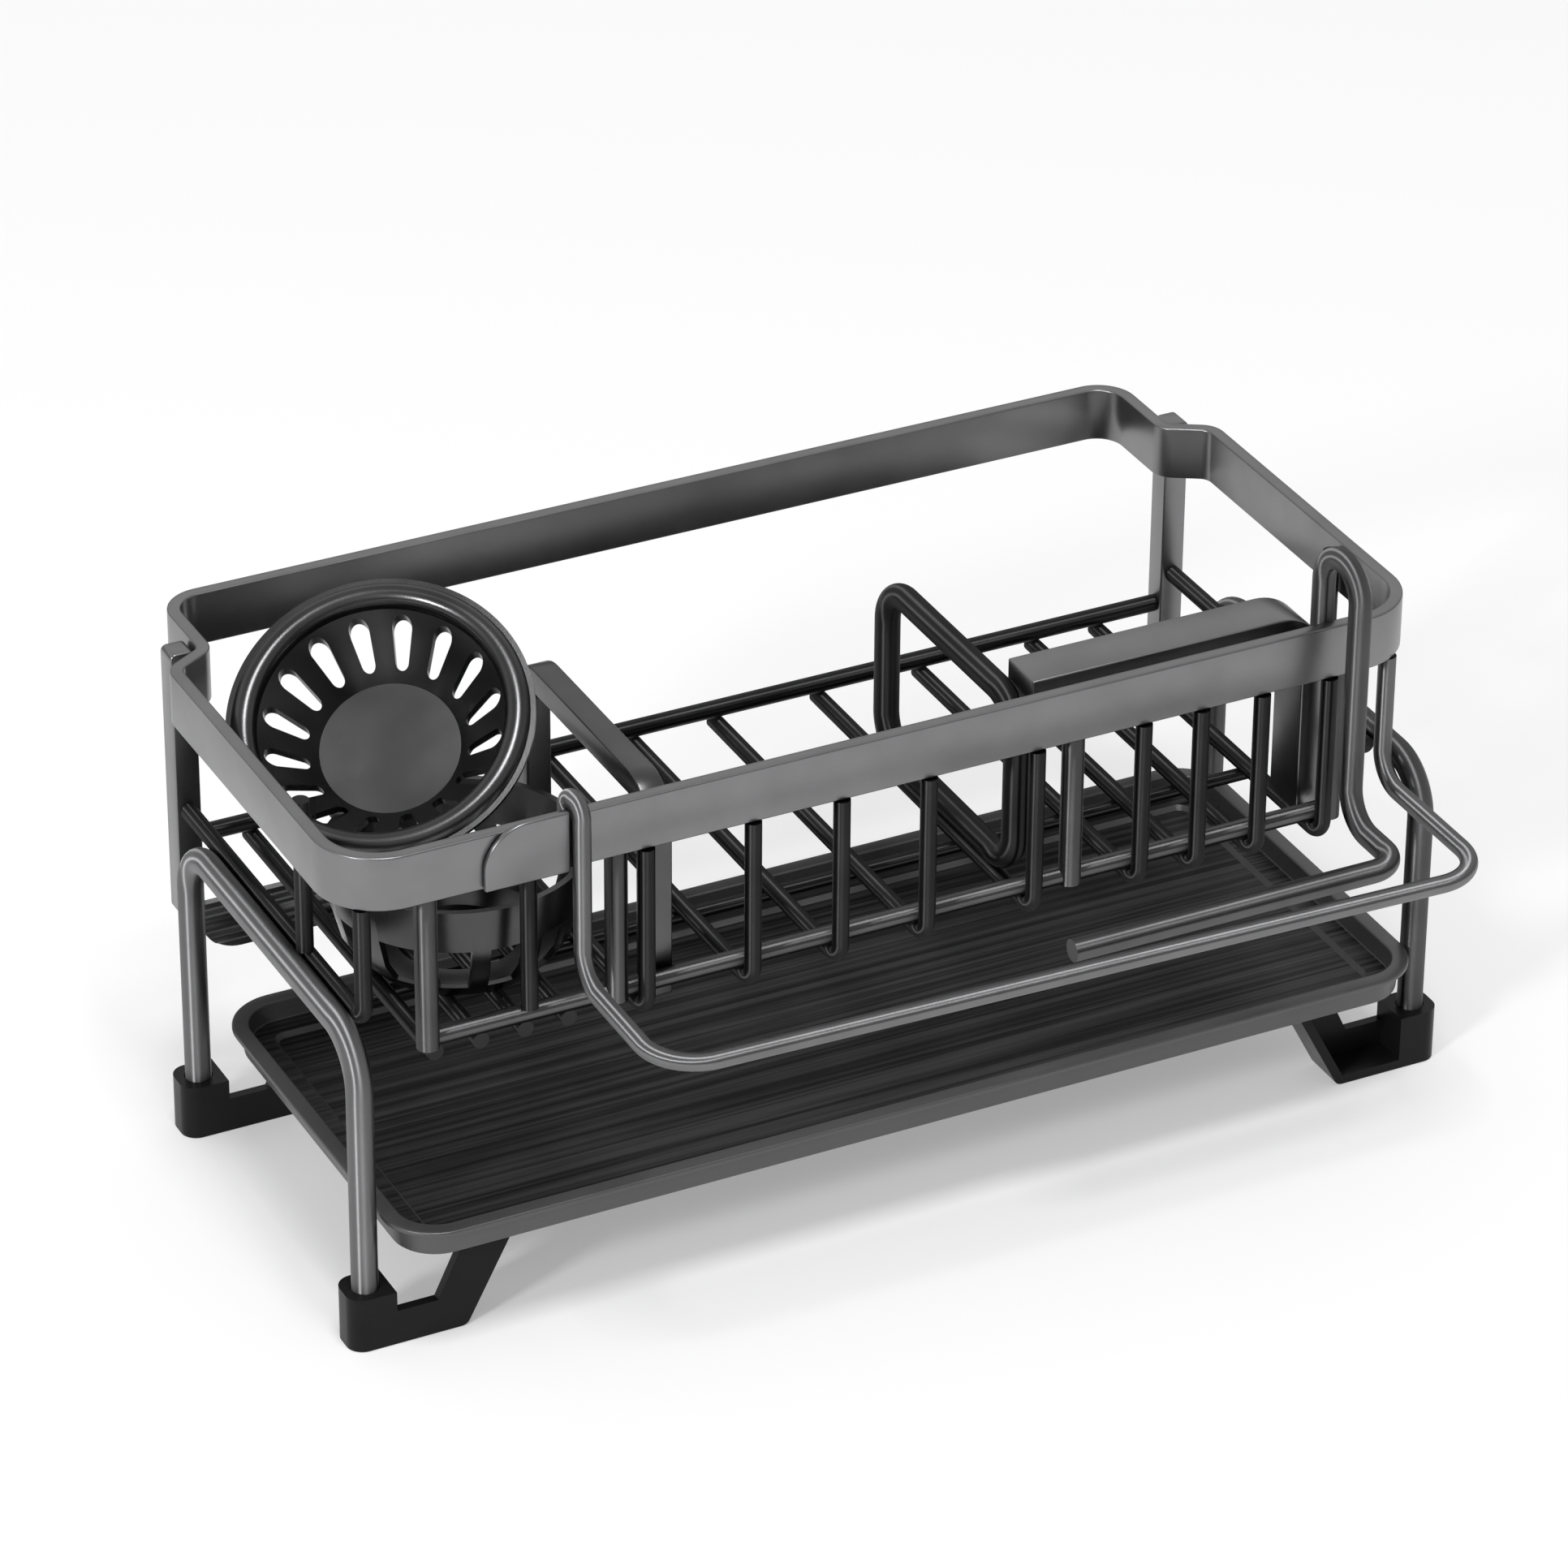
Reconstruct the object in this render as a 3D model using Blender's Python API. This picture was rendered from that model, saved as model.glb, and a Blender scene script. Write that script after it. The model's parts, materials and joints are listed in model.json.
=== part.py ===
"""Sink organizer: a wire basket under a flat-band rim, on two bent-tube side frames with moulded feet.

It has a pull-out drip tray, a towel bar, a hook arm, two lift-out dividers and a lift-out brush cup.
Metres, +Z up, +Y to the back. The origin is on the counter, in the middle of the whole object's box.
"""
import math

import bmesh
import bpy
from mathutils import Matrix, Vector

# Clearances and overruns
GAP = 0.0003
CUT_OVERRUN = 0.002
EDGE_ROUNDING = 0.0005

# Rim: one flat band, stepped in at its two back corners
RIM_LENGTH = 0.310
RIM_DEPTH = 0.149
RIM_TOP = 0.136
BAND_HEIGHT = 0.0153
BAND_THICKNESS = 0.0036
RIM_FRONT_RADIUS = 0.018
RIM_BACK_RADIUS = 0.011
STEP_INSET = 0.0116
STEP_FROM_BACK = 0.0365
STEP_RUN = 0.0068
STEP_OUTER_RADIUS = 0.007
STEP_INNER_RADIUS = 0.003

# Side frames and the rods beside their rails
FRAME_TUBE = 0.007
FRAME_BEND_RADIUS = 0.014
FRAME_RAIL_Z = 0.0875
LEG_INSET = 0.0015
FRONT_LEG_OVERHANG = 0.0045
REAR_LEG_ROOM = 0.0114
SIDE_ROD = 0.0046
SIDE_ROD_BEND = 0.005
RIGHT_ROD_SHARE = -0.805
SIDE_POST_SHARE = -0.47
SIDE_POST_TOP_DROP = 0.002

# Front frame, floor wires and cross rods
FRAME_ROD = 0.0048
FRAME_ROD_Z = 0.0775
FRONT_ROD_INSET = 0.006
FRONT_POST = 0.006
FRONT_POST_INSET = 0.005
POST_SINK_SHARE = 0.4
ROD_END_SHARE = 0.22
FRONT_POST_SHARES = (-0.842, -0.504, 0.339, 0.842)
FRONT_WIRE_SHARE = -0.663
FRONT_WIRE_INSET = 0.004
WIRE = 0.0045
WIRE_SHARES = (-0.461, -0.268, -0.106, 0.055, 0.257, 0.459, 0.569, 0.686, 0.816)
FLOOR_BAR_SHARES = (-0.826, -0.745, -0.665, -0.587)
CROSS_ROD = 0.0036
CROSS_ROD_SHARES = (-0.403, 0.161)
CROSS_ROD_END_SHARES = (-0.871, 0.852)

# Square rear posts in the rim's steps, and the pressed band between them
REAR_POST = 0.007
REAR_POST_FOOT = 0.056
REAR_POST_TOP_DROP = 0.0015
CROSS_BAND_FOOT = 0.0442
CROSS_BAND_HEIGHT = 0.015
CROSS_BAND_THICKNESS = 0.0022
CROSS_BAND_LAP = 0.0033
CROSS_BAND_CORNER = 0.012
BEAD_DEPTH = 0.0008
BEAD_WIDTH = 0.002
BEAD_SHARES = (0.27, 0.73)

# Feet: a socket, a base, a web on one side and a prong that carries the tray
SOCKET_HALF = 0.0062
SOCKET_HEIGHT = 0.0156
SOCKET_FLOOR = 0.0045
SOCKET_CORNER = 0.0045
WEB = 0.0025
BASE_PLATE = 0.0026
PRONG_FLANGE = 0.0026
LEDGE_HEIGHT = 0.0099
LEDGE_END = 0.0174
BASE_END = 0.0254
PRONG_TOP_START = 0.0258
PRONG_TOP_END = 0.0399
PRONG_CORNER = 0.0025

# Drip tray
TRAY_SIDE_ROOM = 0.001
TRAY_DEPTH = 0.124
TRAY_TOP = 0.0365
TRAY_UNDERSIDE = 0.028
TRAY_OVERHANG = 0.0205
TRAY_CORNER = 0.015
TRAY_LIP = 0.0045
TRAY_LIP_THICKNESS = 0.0016
TRAY_WALL_INSET = 0.0025
TRAY_FLOOR = 0.0018
TRAY_STEP = 0.0012
TRAY_STEP_WIDTH = 0.006
TRAY_DRAFT = 0.0006

# Dividers
LEFT_DIVIDER_SHARE = -0.413
LEFT_BAR = 0.007
LEFT_TOP_DROP = 0.004
LEFT_BEND = 0.0085
GATE_SHARE = 0.257
GATE_TUBE = 0.007
GATE_TOP_DROP = 0.0045
GATE_BEND = 0.011
DIVIDER_BACK_SHARE = 0.188
STRAP_THICKNESS = 0.0068
STRAP_WIDTH = 0.014
STRAP_SETBACK = 0.0023
STRAP_TOP_DROP = 0.0015
STRAP_END_SHARE = 0.845
STRAP_BEND = 0.011

# Towel bar, the plate beside its hook, and the hook arm
TOWEL_TUBE = 0.0048
TOWEL_SHARE = -0.587
TOWEL_TAIL = 0.013
TOWEL_ARCH_SHARE = 0.4
TOWEL_BAR_DROP = 0.047
TOWEL_BAR_FALL = 0.0055
TOWEL_REACH = 0.0478
TOWEL_ELBOW = 0.009
TOWEL_CORNER = 0.014
TOWEL_ROOT_SHARE = 0.943
CLIP_LENGTH = 0.0233
CLIP_THICKNESS = 0.0016
CLIP_RISE = 0.002
CLIP_CORNER = 0.012
HOOK_ROD = 0.0062
HOOK_SHARE = 0.819
HOOK_TAIL = 0.014
HOOK_SPAN = 0.0185
HOOK_ARCH_SHARE = 0.49
HOOK_RISE = 0.0172
HOOK_DROP = 0.052
HOOK_REACH = 0.026
HOOK_ELBOW = 0.010
HOOK_CORNER = 0.008
HOOK_END_SHARE = 0.194

# Brush cup: an upright ribbed basket with a leaning slotted dish on it, sized by its compartment
CUP_WIDTH_SHARE = 0.4112
CUP_FRONT_ROOM = 0.0028
CUP_SIDE_ROOM = 0.002
CUP_WALL = 0.0018
CUP_BAND_HEIGHT = 0.0122
CUP_LEVEL_SHARES = (0.0, 0.40, 0.68, 0.87, 1.0)
CUP_RADIUS_SHARES = (1.0, 0.965, 0.90, 0.79, 0.68)
CUP_OPENING_SHARE = 0.46
CUP_BASE_HEIGHT = 0.003
CUP_RIBS = 14
CUP_RIB_WIDTH = 0.005
DISH_LEAN = (-0.34, -0.46, 0.82)
DISH_SHARE = 1.159
DISH_ROLL_SHARE = 1.0232
DISH_FLOOR_SHARE = 0.58
DISH_DEPTH_SHARE = 0.536
DISH_BACK_SHARE = 0.71
DISH_DROP_SHARE = 0.116
DISH_SEAT_SHARE = 0.7362
DISH_SIDE_ROOM = 0.0005
DISH_ROLL = 0.0034
DISH_FLANGE = 0.0012
DISH_WALL = 0.0016
DISH_SLOTS = 16
SLOT_REACH_SHARES = (0.655, 0.829)
SLOT_WIDTH_SHARES = (0.052, 0.076)

# Roundness
TUBE_RESOLUTION = 6
WIRE_RESOLUTION = 4
BEND_STEPS = 6
CORNER_STEPS = 6
TURNED_STEPS = 64

# Places worked out from the sizes above
HALF_LENGTH = RIM_LENGTH / 2
HALF_DEPTH = RIM_DEPTH / 2
RIM_BOTTOM = RIM_TOP - BAND_HEIGHT
WELD_TOP = RIM_BOTTOM - GAP
INNER_FACE = HALF_DEPTH - BAND_THICKNESS
INNER_SIDE = HALF_LENGTH - BAND_THICKNESS
STEP_SIDE = HALF_LENGTH - STEP_INSET
STEP_START = HALF_DEPTH - STEP_FROM_BACK
STEP_END = STEP_START + STEP_RUN
LEG_X = HALF_LENGTH - LEG_INSET
FRONT_LEG_Y = -(HALF_DEPTH + FRONT_LEG_OVERHANG)
SIDE_ROD_X = LEG_X - FRAME_TUBE / 2 - GAP - SIDE_ROD / 2
FRONT_ROD_Y = -(HALF_DEPTH - FRONT_ROD_INSET)
CURL_RADIUS = FRAME_ROD / 2 + GAP + WIRE / 2
FRONT_WIRE_Y = FRONT_ROD_Y - CURL_RADIUS
FLOOR_Z = FRAME_ROD_Z - CURL_RADIUS
STANDING_Z = FLOOR_Z + WIRE / 2 + GAP
CROSS_ROD_Z = FLOOR_Z - WIRE / 2 - GAP - CROSS_ROD / 2
REAR_POST_X = STEP_SIDE + GAP + REAR_POST / 2
REAR_POST_FRONT = STEP_END + 3 * GAP
REAR_LEG_Y = REAR_POST_FRONT - REAR_LEG_ROOM - FRAME_TUBE / 2
REAR_ROD_Y = REAR_POST_FRONT + REAR_POST / 2
BASKET_FRONT = FRONT_ROD_Y + FRAME_ROD / 2 + GAP
DIVIDER_BACK = DIVIDER_BACK_SHARE * HALF_DEPTH
TRAY_FRONT = -(HALF_DEPTH + TRAY_OVERHANG)
LEFT_DIVIDER_X = LEFT_DIVIDER_SHARE * HALF_LENGTH
CUP_RADIUS = (INNER_SIDE + LEFT_DIVIDER_X - LEFT_BAR / 2) * CUP_WIDTH_SHARE
CUP_X = LEFT_DIVIDER_X - LEFT_BAR / 2 - CUP_SIDE_ROOM - CUP_RADIUS
CUP_Y = BASKET_FRONT + CUP_FRONT_ROOM + CUP_RADIUS
DISH_RADIUS = DISH_SHARE * CUP_RADIUS
DISH_DEPTH = DISH_DEPTH_SHARE * CUP_RADIUS
DISH_X = DISH_SIDE_ROOM - INNER_SIDE + DISH_RADIUS * math.sqrt(1 - DISH_LEAN[0] ** 2)
DISH_Y = CUP_Y + DISH_BACK_SHARE * CUP_RADIUS
DISH_DROP = DISH_DROP_SHARE * CUP_RADIUS
CUP_TOP = RIM_TOP - DISH_DROP - DISH_SEAT_SHARE * CUP_RADIUS - 2 * GAP
TOWEL_HOOK_Y = -(HALF_DEPTH + GAP + TOWEL_TUBE / 2)
TOWEL_BAR_Y = TOWEL_HOOK_Y - TOWEL_REACH
OBJECT_FRONT = TOWEL_BAR_Y - TOWEL_TUBE / 2
OBJECT_MIDDLE_Y = (HALF_DEPTH + OBJECT_FRONT) / 2


def clear_scene():
    """Remove whatever the file already holds."""
    for thing in list(bpy.data.objects):
        bpy.data.objects.remove(thing, do_unlink=True)


def material(name, color, roughness, metallic):
    """A plain Principled material."""
    made = bpy.data.materials.new(name)
    made.use_nodes = True
    shader = made.node_tree.nodes["Principled BSDF"]
    shader.inputs["Base Color"].default_value = (*color, 1.0)
    shader.inputs["Roughness"].default_value = roughness
    shader.inputs["Metallic"].default_value = metallic
    made.diffuse_color = (*color, 1.0)
    return made


def place(thing, parent, finish):
    """Link an object to the scene, under its parent and with its material."""
    bpy.context.scene.collection.objects.link(thing)
    thing.parent = parent
    if finish is not None:
        thing.data.materials.append(finish)
    return thing


def group(name, parent=None, location=(0, 0, 0)):
    """An empty that carries pieces."""
    return place_empty(bpy.data.objects.new(name, None), parent, location)


def place_empty(empty, parent, location):
    """Link an empty and put it at its place under its parent."""
    bpy.context.scene.collection.objects.link(empty)
    empty.parent = parent
    empty.location = location
    return empty


def arc_between(before, corner, after, radius, steps):
    """Points of the round that replaces a corner, from one side to the other."""
    a = (before - corner).normalized()
    b = (after - corner).normalized()
    angle = a.angle(b)
    reach = radius / math.tan(angle / 2)
    centre = corner + (a + b).normalized() * (radius / math.sin(angle / 2))
    start = corner + a * reach - centre
    end = corner + b * reach - centre
    sweep = start.angle(end)
    points = []
    for step in range(steps + 1):
        share = step / steps
        weight_a = math.sin((1 - share) * sweep) / math.sin(sweep)
        weight_b = math.sin(share * sweep) / math.sin(sweep)
        points.append(centre + start * weight_a + end * weight_b)
    return points


def rounded_path(corners, radii, steps, closed=False):
    """A path through corners, each one rounded; a radius of zero keeps the corner."""
    corners = [Vector(corner) for corner in corners]
    count = len(corners)
    points = []
    for index, corner in enumerate(corners):
        end_point = not closed and index in (0, count - 1)
        if end_point or radii[index] == 0:
            points.append(corner)
            continue
        before = corners[index - 1]
        after = corners[(index + 1) % count]
        points += arc_between(before, corner, after, radii[index], steps)
    return points


def tube(name, corners, bend, diameter, parent, finish, closed=False, resolution=TUBE_RESOLUTION):
    """A round bar bent along the corners, with closed ends unless it is a ring."""
    path = rounded_path(corners, [bend] * len(corners), BEND_STEPS, closed)
    curve = bpy.data.curves.new(name, "CURVE")
    curve.dimensions = "3D"
    spline = curve.splines.new("POLY")
    spline.points.add(len(path) - 1)
    for point, place_at in zip(spline.points, path):
        point.co = (*place_at, 1.0)
    spline.use_cyclic_u = closed
    curve.bevel_depth = diameter / 2
    curve.bevel_resolution = resolution
    curve.use_fill_caps = not closed
    spline.use_smooth = True
    return place(bpy.data.objects.new(name, curve), parent, finish)


def mesh_object(name, mesh_builder, parent, finish, smooth_angle=35):
    """Turn a bmesh into an object with outward faces and smooth rounds."""
    mesh = bpy.data.meshes.new(name)
    bmesh.ops.recalc_face_normals(mesh_builder, faces=mesh_builder.faces)
    mesh_builder.to_mesh(mesh)
    mesh_builder.free()
    mesh.shade_smooth()
    mesh.set_sharp_from_angle(angle=math.radians(smooth_angle))
    return place(bpy.data.objects.new(name, mesh), parent, finish)


def round_edges(thing, width=EDGE_ROUNDING, segments=1):
    """Take the sharpness off an object's edges."""
    bevel = thing.modifiers.new("edges", "BEVEL")
    bevel.width = width
    bevel.segments = segments
    bevel.limit_method = "ANGLE"
    bevel.angle_limit = math.radians(50)
    return thing


def cut(thing, cutter, operation="DIFFERENCE"):
    """Combine an object with a hidden helper shape."""
    boolean = thing.modifiers.new(operation.lower(), "BOOLEAN")
    boolean.operation = operation
    boolean.solver = "EXACT"
    boolean.object = cutter
    cutter.hide_render = True
    cutter.display_type = "WIRE"
    return thing


def prism(outline, low, high, lift=lambda u, v, w: (u, v, w)):
    """A bmesh of a flat outline pushed from low to high; lift turns it to another plane."""
    builder = bmesh.new()
    base = [builder.verts.new(lift(point[0], point[1], low)) for point in outline]
    top = [builder.verts.new(lift(point[0], point[1], high)) for point in outline]
    builder.faces.new(base)
    builder.faces.new(top)
    bridge(builder, base, top)
    return builder


def bridge(builder, ring_a, ring_b, closed=True):
    """Quads between two rings of the same length."""
    count = len(ring_a)
    last = count if closed else count - 1
    for index in range(last):
        after = (index + 1) % count
        builder.faces.new((ring_a[index], ring_a[after], ring_b[after], ring_b[index]))


def on_xz(u, v, w):
    """Outline across X and Z, pushed along Y."""
    return (u, w, v)


def on_yz(u, v, w):
    """Outline across Y and Z, pushed along X."""
    return (w, u, v)


def offset_sides(path, thickness, closed):
    """The two sides of a strip that follows a path in the XY plane."""
    count = len(path)
    left, right = [], []
    for index, point in enumerate(path):
        before = path[index - 1] if closed or index > 0 else None
        after = path[(index + 1) % count] if closed or index < count - 1 else None
        along_in = (point - before).normalized() if before is not None else None
        along_out = (after - point).normalized() if after is not None else None
        along_in = along_in or along_out
        along_out = along_out or along_in
        across = Vector((-along_in.y - along_out.y, along_in.x + along_out.x, 0)).normalized()
        miter = across.dot(Vector((-along_in.y, along_in.x, 0)))
        shift = across * (thickness / 2 / miter)
        left.append(point + shift)
        right.append(point - shift)
    return left, right


def strip(name, path, thickness, low, high, parent, finish, closed=False):
    """A flat band on edge that follows a path in the XY plane."""
    left, right = offset_sides(path, thickness, closed)
    builder = bmesh.new()
    rings = []
    for side, height in ((left, low), (right, low), (right, high), (left, high)):
        rings.append([builder.verts.new((point.x, point.y, height)) for point in side])
    for index, ring in enumerate(rings):
        bridge(builder, ring, rings[(index + 1) % len(rings)], closed)
    if not closed:
        builder.faces.new([ring[0] for ring in rings])
        builder.faces.new([ring[-1] for ring in rings])
    return mesh_object(name, builder, parent, finish)


def spin_profile(profile):
    """A turned solid from a closed profile of radius and height pairs; radius zero closes on the axis."""
    builder = bmesh.new()
    rings = []
    for radius, height in profile:
        if radius == 0:
            rings.append([builder.verts.new((0, 0, height))])
            continue
        ring = []
        for step in range(TURNED_STEPS):
            angle = step * math.tau / TURNED_STEPS
            ring.append(builder.verts.new((radius * math.cos(angle), radius * math.sin(angle), height)))
        rings.append(ring)
    for ring, after in zip(rings, rings[1:] + rings[:1]):
        if len(ring) == len(after) == 1:
            continue
        if len(ring) == 1 or len(after) == 1:
            fan = ring if len(ring) == 1 else after
            edge = after if len(ring) == 1 else ring
            for step in range(TURNED_STEPS):
                builder.faces.new((edge[step], edge[(step + 1) % TURNED_STEPS], fan[0]))
            continue
        bridge(builder, ring, after)
    return builder


def add_spoke(builder, outlines, reach, turn):
    """A bar that runs outward from the axis, between an inner and an outer outline."""
    rotation = Matrix.Rotation(turn * math.tau, 3, "Z")
    rings = []
    for outline, radius in zip(outlines, reach):
        ring = [builder.verts.new(rotation @ Vector((radius, point.x, point.y))) for point in outline]
        builder.faces.new(ring)
        rings.append(ring)
    bridge(builder, rings[0], rings[1])


def flipped(points):
    """The same XY points mirrored to the other side and run the other way."""
    return [(-point[0], point[1], 0) for point in reversed(points)]


def make_rim(parent, finish):
    """The closed band round the top, with a step at each back corner."""
    right = [(HALF_LENGTH, -HALF_DEPTH, 0), (HALF_LENGTH, STEP_START, 0)]
    right += [(STEP_SIDE, STEP_END, 0), (STEP_SIDE, HALF_DEPTH, 0)]
    outer = [Vector(corner) for corner in right + flipped(right)]
    middle, _ = offset_sides(outer, BAND_THICKNESS, closed=True)
    half = BAND_THICKNESS / 2
    radii = [RIM_FRONT_RADIUS - half, STEP_OUTER_RADIUS - half]
    radii += [STEP_INNER_RADIUS + half, RIM_BACK_RADIUS - half]
    path = rounded_path(middle, radii + radii[::-1], CORNER_STEPS, closed=True)
    rim = strip("rim_band", path, BAND_THICKNESS, RIM_BOTTOM, RIM_TOP, parent, finish, closed=True)
    round_edges(rim, segments=2)


def rim_middle_y(x):
    """Where the rim's middle line lies in front at a place across its length."""
    radius = RIM_FRONT_RADIUS - BAND_THICKNESS / 2
    into_corner = max(0, abs(x) - (HALF_LENGTH - RIM_FRONT_RADIUS))
    return -(HALF_DEPTH - RIM_FRONT_RADIUS + math.sqrt(radius ** 2 - into_corner ** 2))


def make_side_frames(parent, finish):
    """The inverted-U tubes whose legs stand in the feet."""
    tip = SOCKET_FLOOR + GAP
    for side, name in ((-1, "side_frame_left"), (1, "side_frame_right")):
        x = side * LEG_X
        corners = [(x, FRONT_LEG_Y, tip), (x, FRONT_LEG_Y, FRAME_RAIL_Z)]
        corners += [(x, REAR_LEG_Y, FRAME_RAIL_Z), (x, REAR_LEG_Y, tip)]
        tube(name, corners, FRAME_BEND_RADIUS, FRAME_TUBE, parent, finish)


def make_side_rods(parent, finish):
    """The rods beside the rails; the left one rises at the front to the rim."""
    back = REAR_POST_FRONT - GAP
    front = rim_middle_y(SIDE_ROD_X)
    left = [(-SIDE_ROD_X, back, FRAME_RAIL_Z), (-SIDE_ROD_X, front, FRAME_RAIL_Z)]
    left.append((-SIDE_ROD_X, front, WELD_TOP))
    tube("side_rod_left", left, SIDE_ROD_BEND, SIDE_ROD, parent, finish, resolution=WIRE_RESOLUTION)
    right = [(SIDE_ROD_X, back, FRAME_RAIL_Z), (SIDE_ROD_X, RIGHT_ROD_SHARE * HALF_DEPTH, FRAME_RAIL_Z)]
    tube("side_rod_right", right, 0, SIDE_ROD, parent, finish, resolution=WIRE_RESOLUTION)
    post_x = INNER_SIDE - GAP - SIDE_ROD / 2
    y = SIDE_POST_SHARE * HALF_DEPTH
    foot = FRAME_RAIL_Z + SIDE_ROD / 2 + GAP
    for side, name in ((-1, "side_post_left"), (1, "side_post_right")):
        corners = [(side * post_x, y, foot), (side * post_x, y, RIM_TOP - SIDE_POST_TOP_DROP)]
        tube(name, corners, 0, SIDE_ROD, parent, finish, resolution=WIRE_RESOLUTION)


def make_front_frame(parent, finish):
    """The low front rod and its thick posts, welded into one piece."""
    reach = FRONT_POST_SHARES[-1] * HALF_LENGTH + FRONT_POST * ROD_END_SHARE
    ends = [(-reach, FRONT_ROD_Y, FRAME_ROD_Z), (reach, FRONT_ROD_Y, FRAME_ROD_Z)]
    frame = round_bar("front_frame", *ends, FRAME_ROD, parent, finish)
    y = -(HALF_DEPTH - FRONT_POST_INSET)
    low = FRAME_ROD_Z - FRAME_ROD * POST_SINK_SHARE
    for share in FRONT_POST_SHARES:
        x = share * HALF_LENGTH
        post = round_bar("front_frame_post", (x, y, low), (x, y, WELD_TOP), FRONT_POST, parent, None)
        cut(frame, post, "UNION")


def round_bar(name, start, end, diameter, parent, finish):
    """A straight round bar as a mesh, for joining to others."""
    start, end = Vector(start), Vector(end)
    turn = (end - start).to_track_quat("Z", "Y").to_matrix().to_4x4()
    place_at = Matrix.Translation((start + end) / 2) @ turn
    builder = bmesh.new()
    bmesh.ops.create_cone(builder, cap_ends=True, segments=2 * TUBE_RESOLUTION + 4, radius1=diameter / 2,
                          radius2=diameter / 2, depth=(end - start).length, matrix=place_at)
    return mesh_object(name, builder, parent, finish)


def make_floor(parent, finish):
    """Curled wires, straight bars, the short front wire and the rods under them."""
    back = REAR_ROD_Y + FRAME_ROD / 2
    for number, share in enumerate(WIRE_SHARES, 1):
        x = share * HALF_LENGTH
        corners = [(x, FRONT_WIRE_Y, WELD_TOP), (x, FRONT_WIRE_Y, FLOOR_Z), (x, back, FLOOR_Z)]
        name = f"floor_wire_{number}"
        tube(name, corners, CURL_RADIUS, WIRE, parent, finish, resolution=WIRE_RESOLUTION)
    for number, share in enumerate(FLOOR_BAR_SHARES, 1):
        x = share * HALF_LENGTH
        corners = [(x, FRONT_ROD_Y, FLOOR_Z), (x, back, FLOOR_Z)]
        tube(f"floor_bar_{number}", corners, 0, WIRE, parent, finish, resolution=WIRE_RESOLUTION)
    x = FRONT_WIRE_SHARE * HALF_LENGTH
    y = -(HALF_DEPTH - FRONT_WIRE_INSET)
    corners = [(x, y, FRAME_ROD_Z + FRAME_ROD / 2 + GAP), (x, y, WELD_TOP)]
    tube("front_wire_left", corners, 0, WIRE, parent, finish, resolution=WIRE_RESOLUTION)
    left, right = [share * HALF_LENGTH for share in CROSS_ROD_END_SHARES]
    for share, name in zip(CROSS_ROD_SHARES, ("cross_rod_front", "cross_rod_back")):
        y = share * HALF_DEPTH
        corners = [(left, y, CROSS_ROD_Z), (right, y, CROSS_ROD_Z)]
        tube(name, corners, 0, CROSS_ROD, parent, finish, resolution=WIRE_RESOLUTION)


def make_rear(parent, finish):
    """Square posts in the rim's steps, the low rod and the pressed band between them."""
    half = REAR_POST / 2
    top = RIM_TOP - REAR_POST_TOP_DROP
    for side, name in ((-1, "rear_post_left"), (1, "rear_post_right")):
        x = side * REAR_POST_X
        corners = [(x - half, REAR_POST_FOOT, 0), (x + half, REAR_POST_FOOT, 0)]
        corners += [(x + half, top, 0), (x - half, top, 0)]
        outline = rounded_path(corners, [0, 0, half / 2, half / 2], CORNER_STEPS, closed=True)
        solid = prism(outline, REAR_POST_FRONT, REAR_POST_FRONT + REAR_POST, on_xz)
        round_edges(mesh_object(name, solid, parent, finish))
    corners = [(-STEP_SIDE, REAR_ROD_Y, FRAME_ROD_Z), (STEP_SIDE, REAR_ROD_Y, FRAME_ROD_Z)]
    tube("rear_rod", corners, 0, FRAME_ROD, parent, finish)
    make_cross_band(parent, finish)


def make_cross_band(parent, finish):
    """The pressed band: flat back, two beads in front, round lower corners."""
    back = REAR_POST_FRONT - GAP
    front = back - CROSS_BAND_THICKNESS
    top = CROSS_BAND_FOOT + CROSS_BAND_HEIGHT
    section = [(back, CROSS_BAND_FOOT), (back, top), (front, top)]
    for share in reversed(BEAD_SHARES):
        middle = CROSS_BAND_FOOT + share * CROSS_BAND_HEIGHT
        section += [(front, middle + BEAD_WIDTH), (front - BEAD_DEPTH, middle + BEAD_WIDTH / 2)]
        section += [(front - BEAD_DEPTH, middle - BEAD_WIDTH / 2), (front, middle - BEAD_WIDTH)]
    section.append((front, CROSS_BAND_FOOT))
    reach = STEP_SIDE + CROSS_BAND_LAP
    band = mesh_object("rear_cross_band", prism(section, -reach, reach, on_yz), parent, finish)
    over = top + CUT_OVERRUN
    wide = reach + CUT_OVERRUN
    corners = [(-reach, CROSS_BAND_FOOT, 0), (reach, CROSS_BAND_FOOT, 0), (reach, top, 0), (wide, top, 0)]
    corners += [(wide, over, 0), (-wide, over, 0), (-wide, top, 0), (-reach, top, 0)]
    radii = [CROSS_BAND_CORNER] * 2 + [0] * 6
    outline = rounded_path(corners, radii, CORNER_STEPS, closed=True)
    envelope = prism(outline, front - BEAD_DEPTH - CUT_OVERRUN, back + CUT_OVERRUN, on_xz)
    cut(band, mesh_object("cross_band_outline", envelope, parent, None), "INTERSECT")


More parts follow.
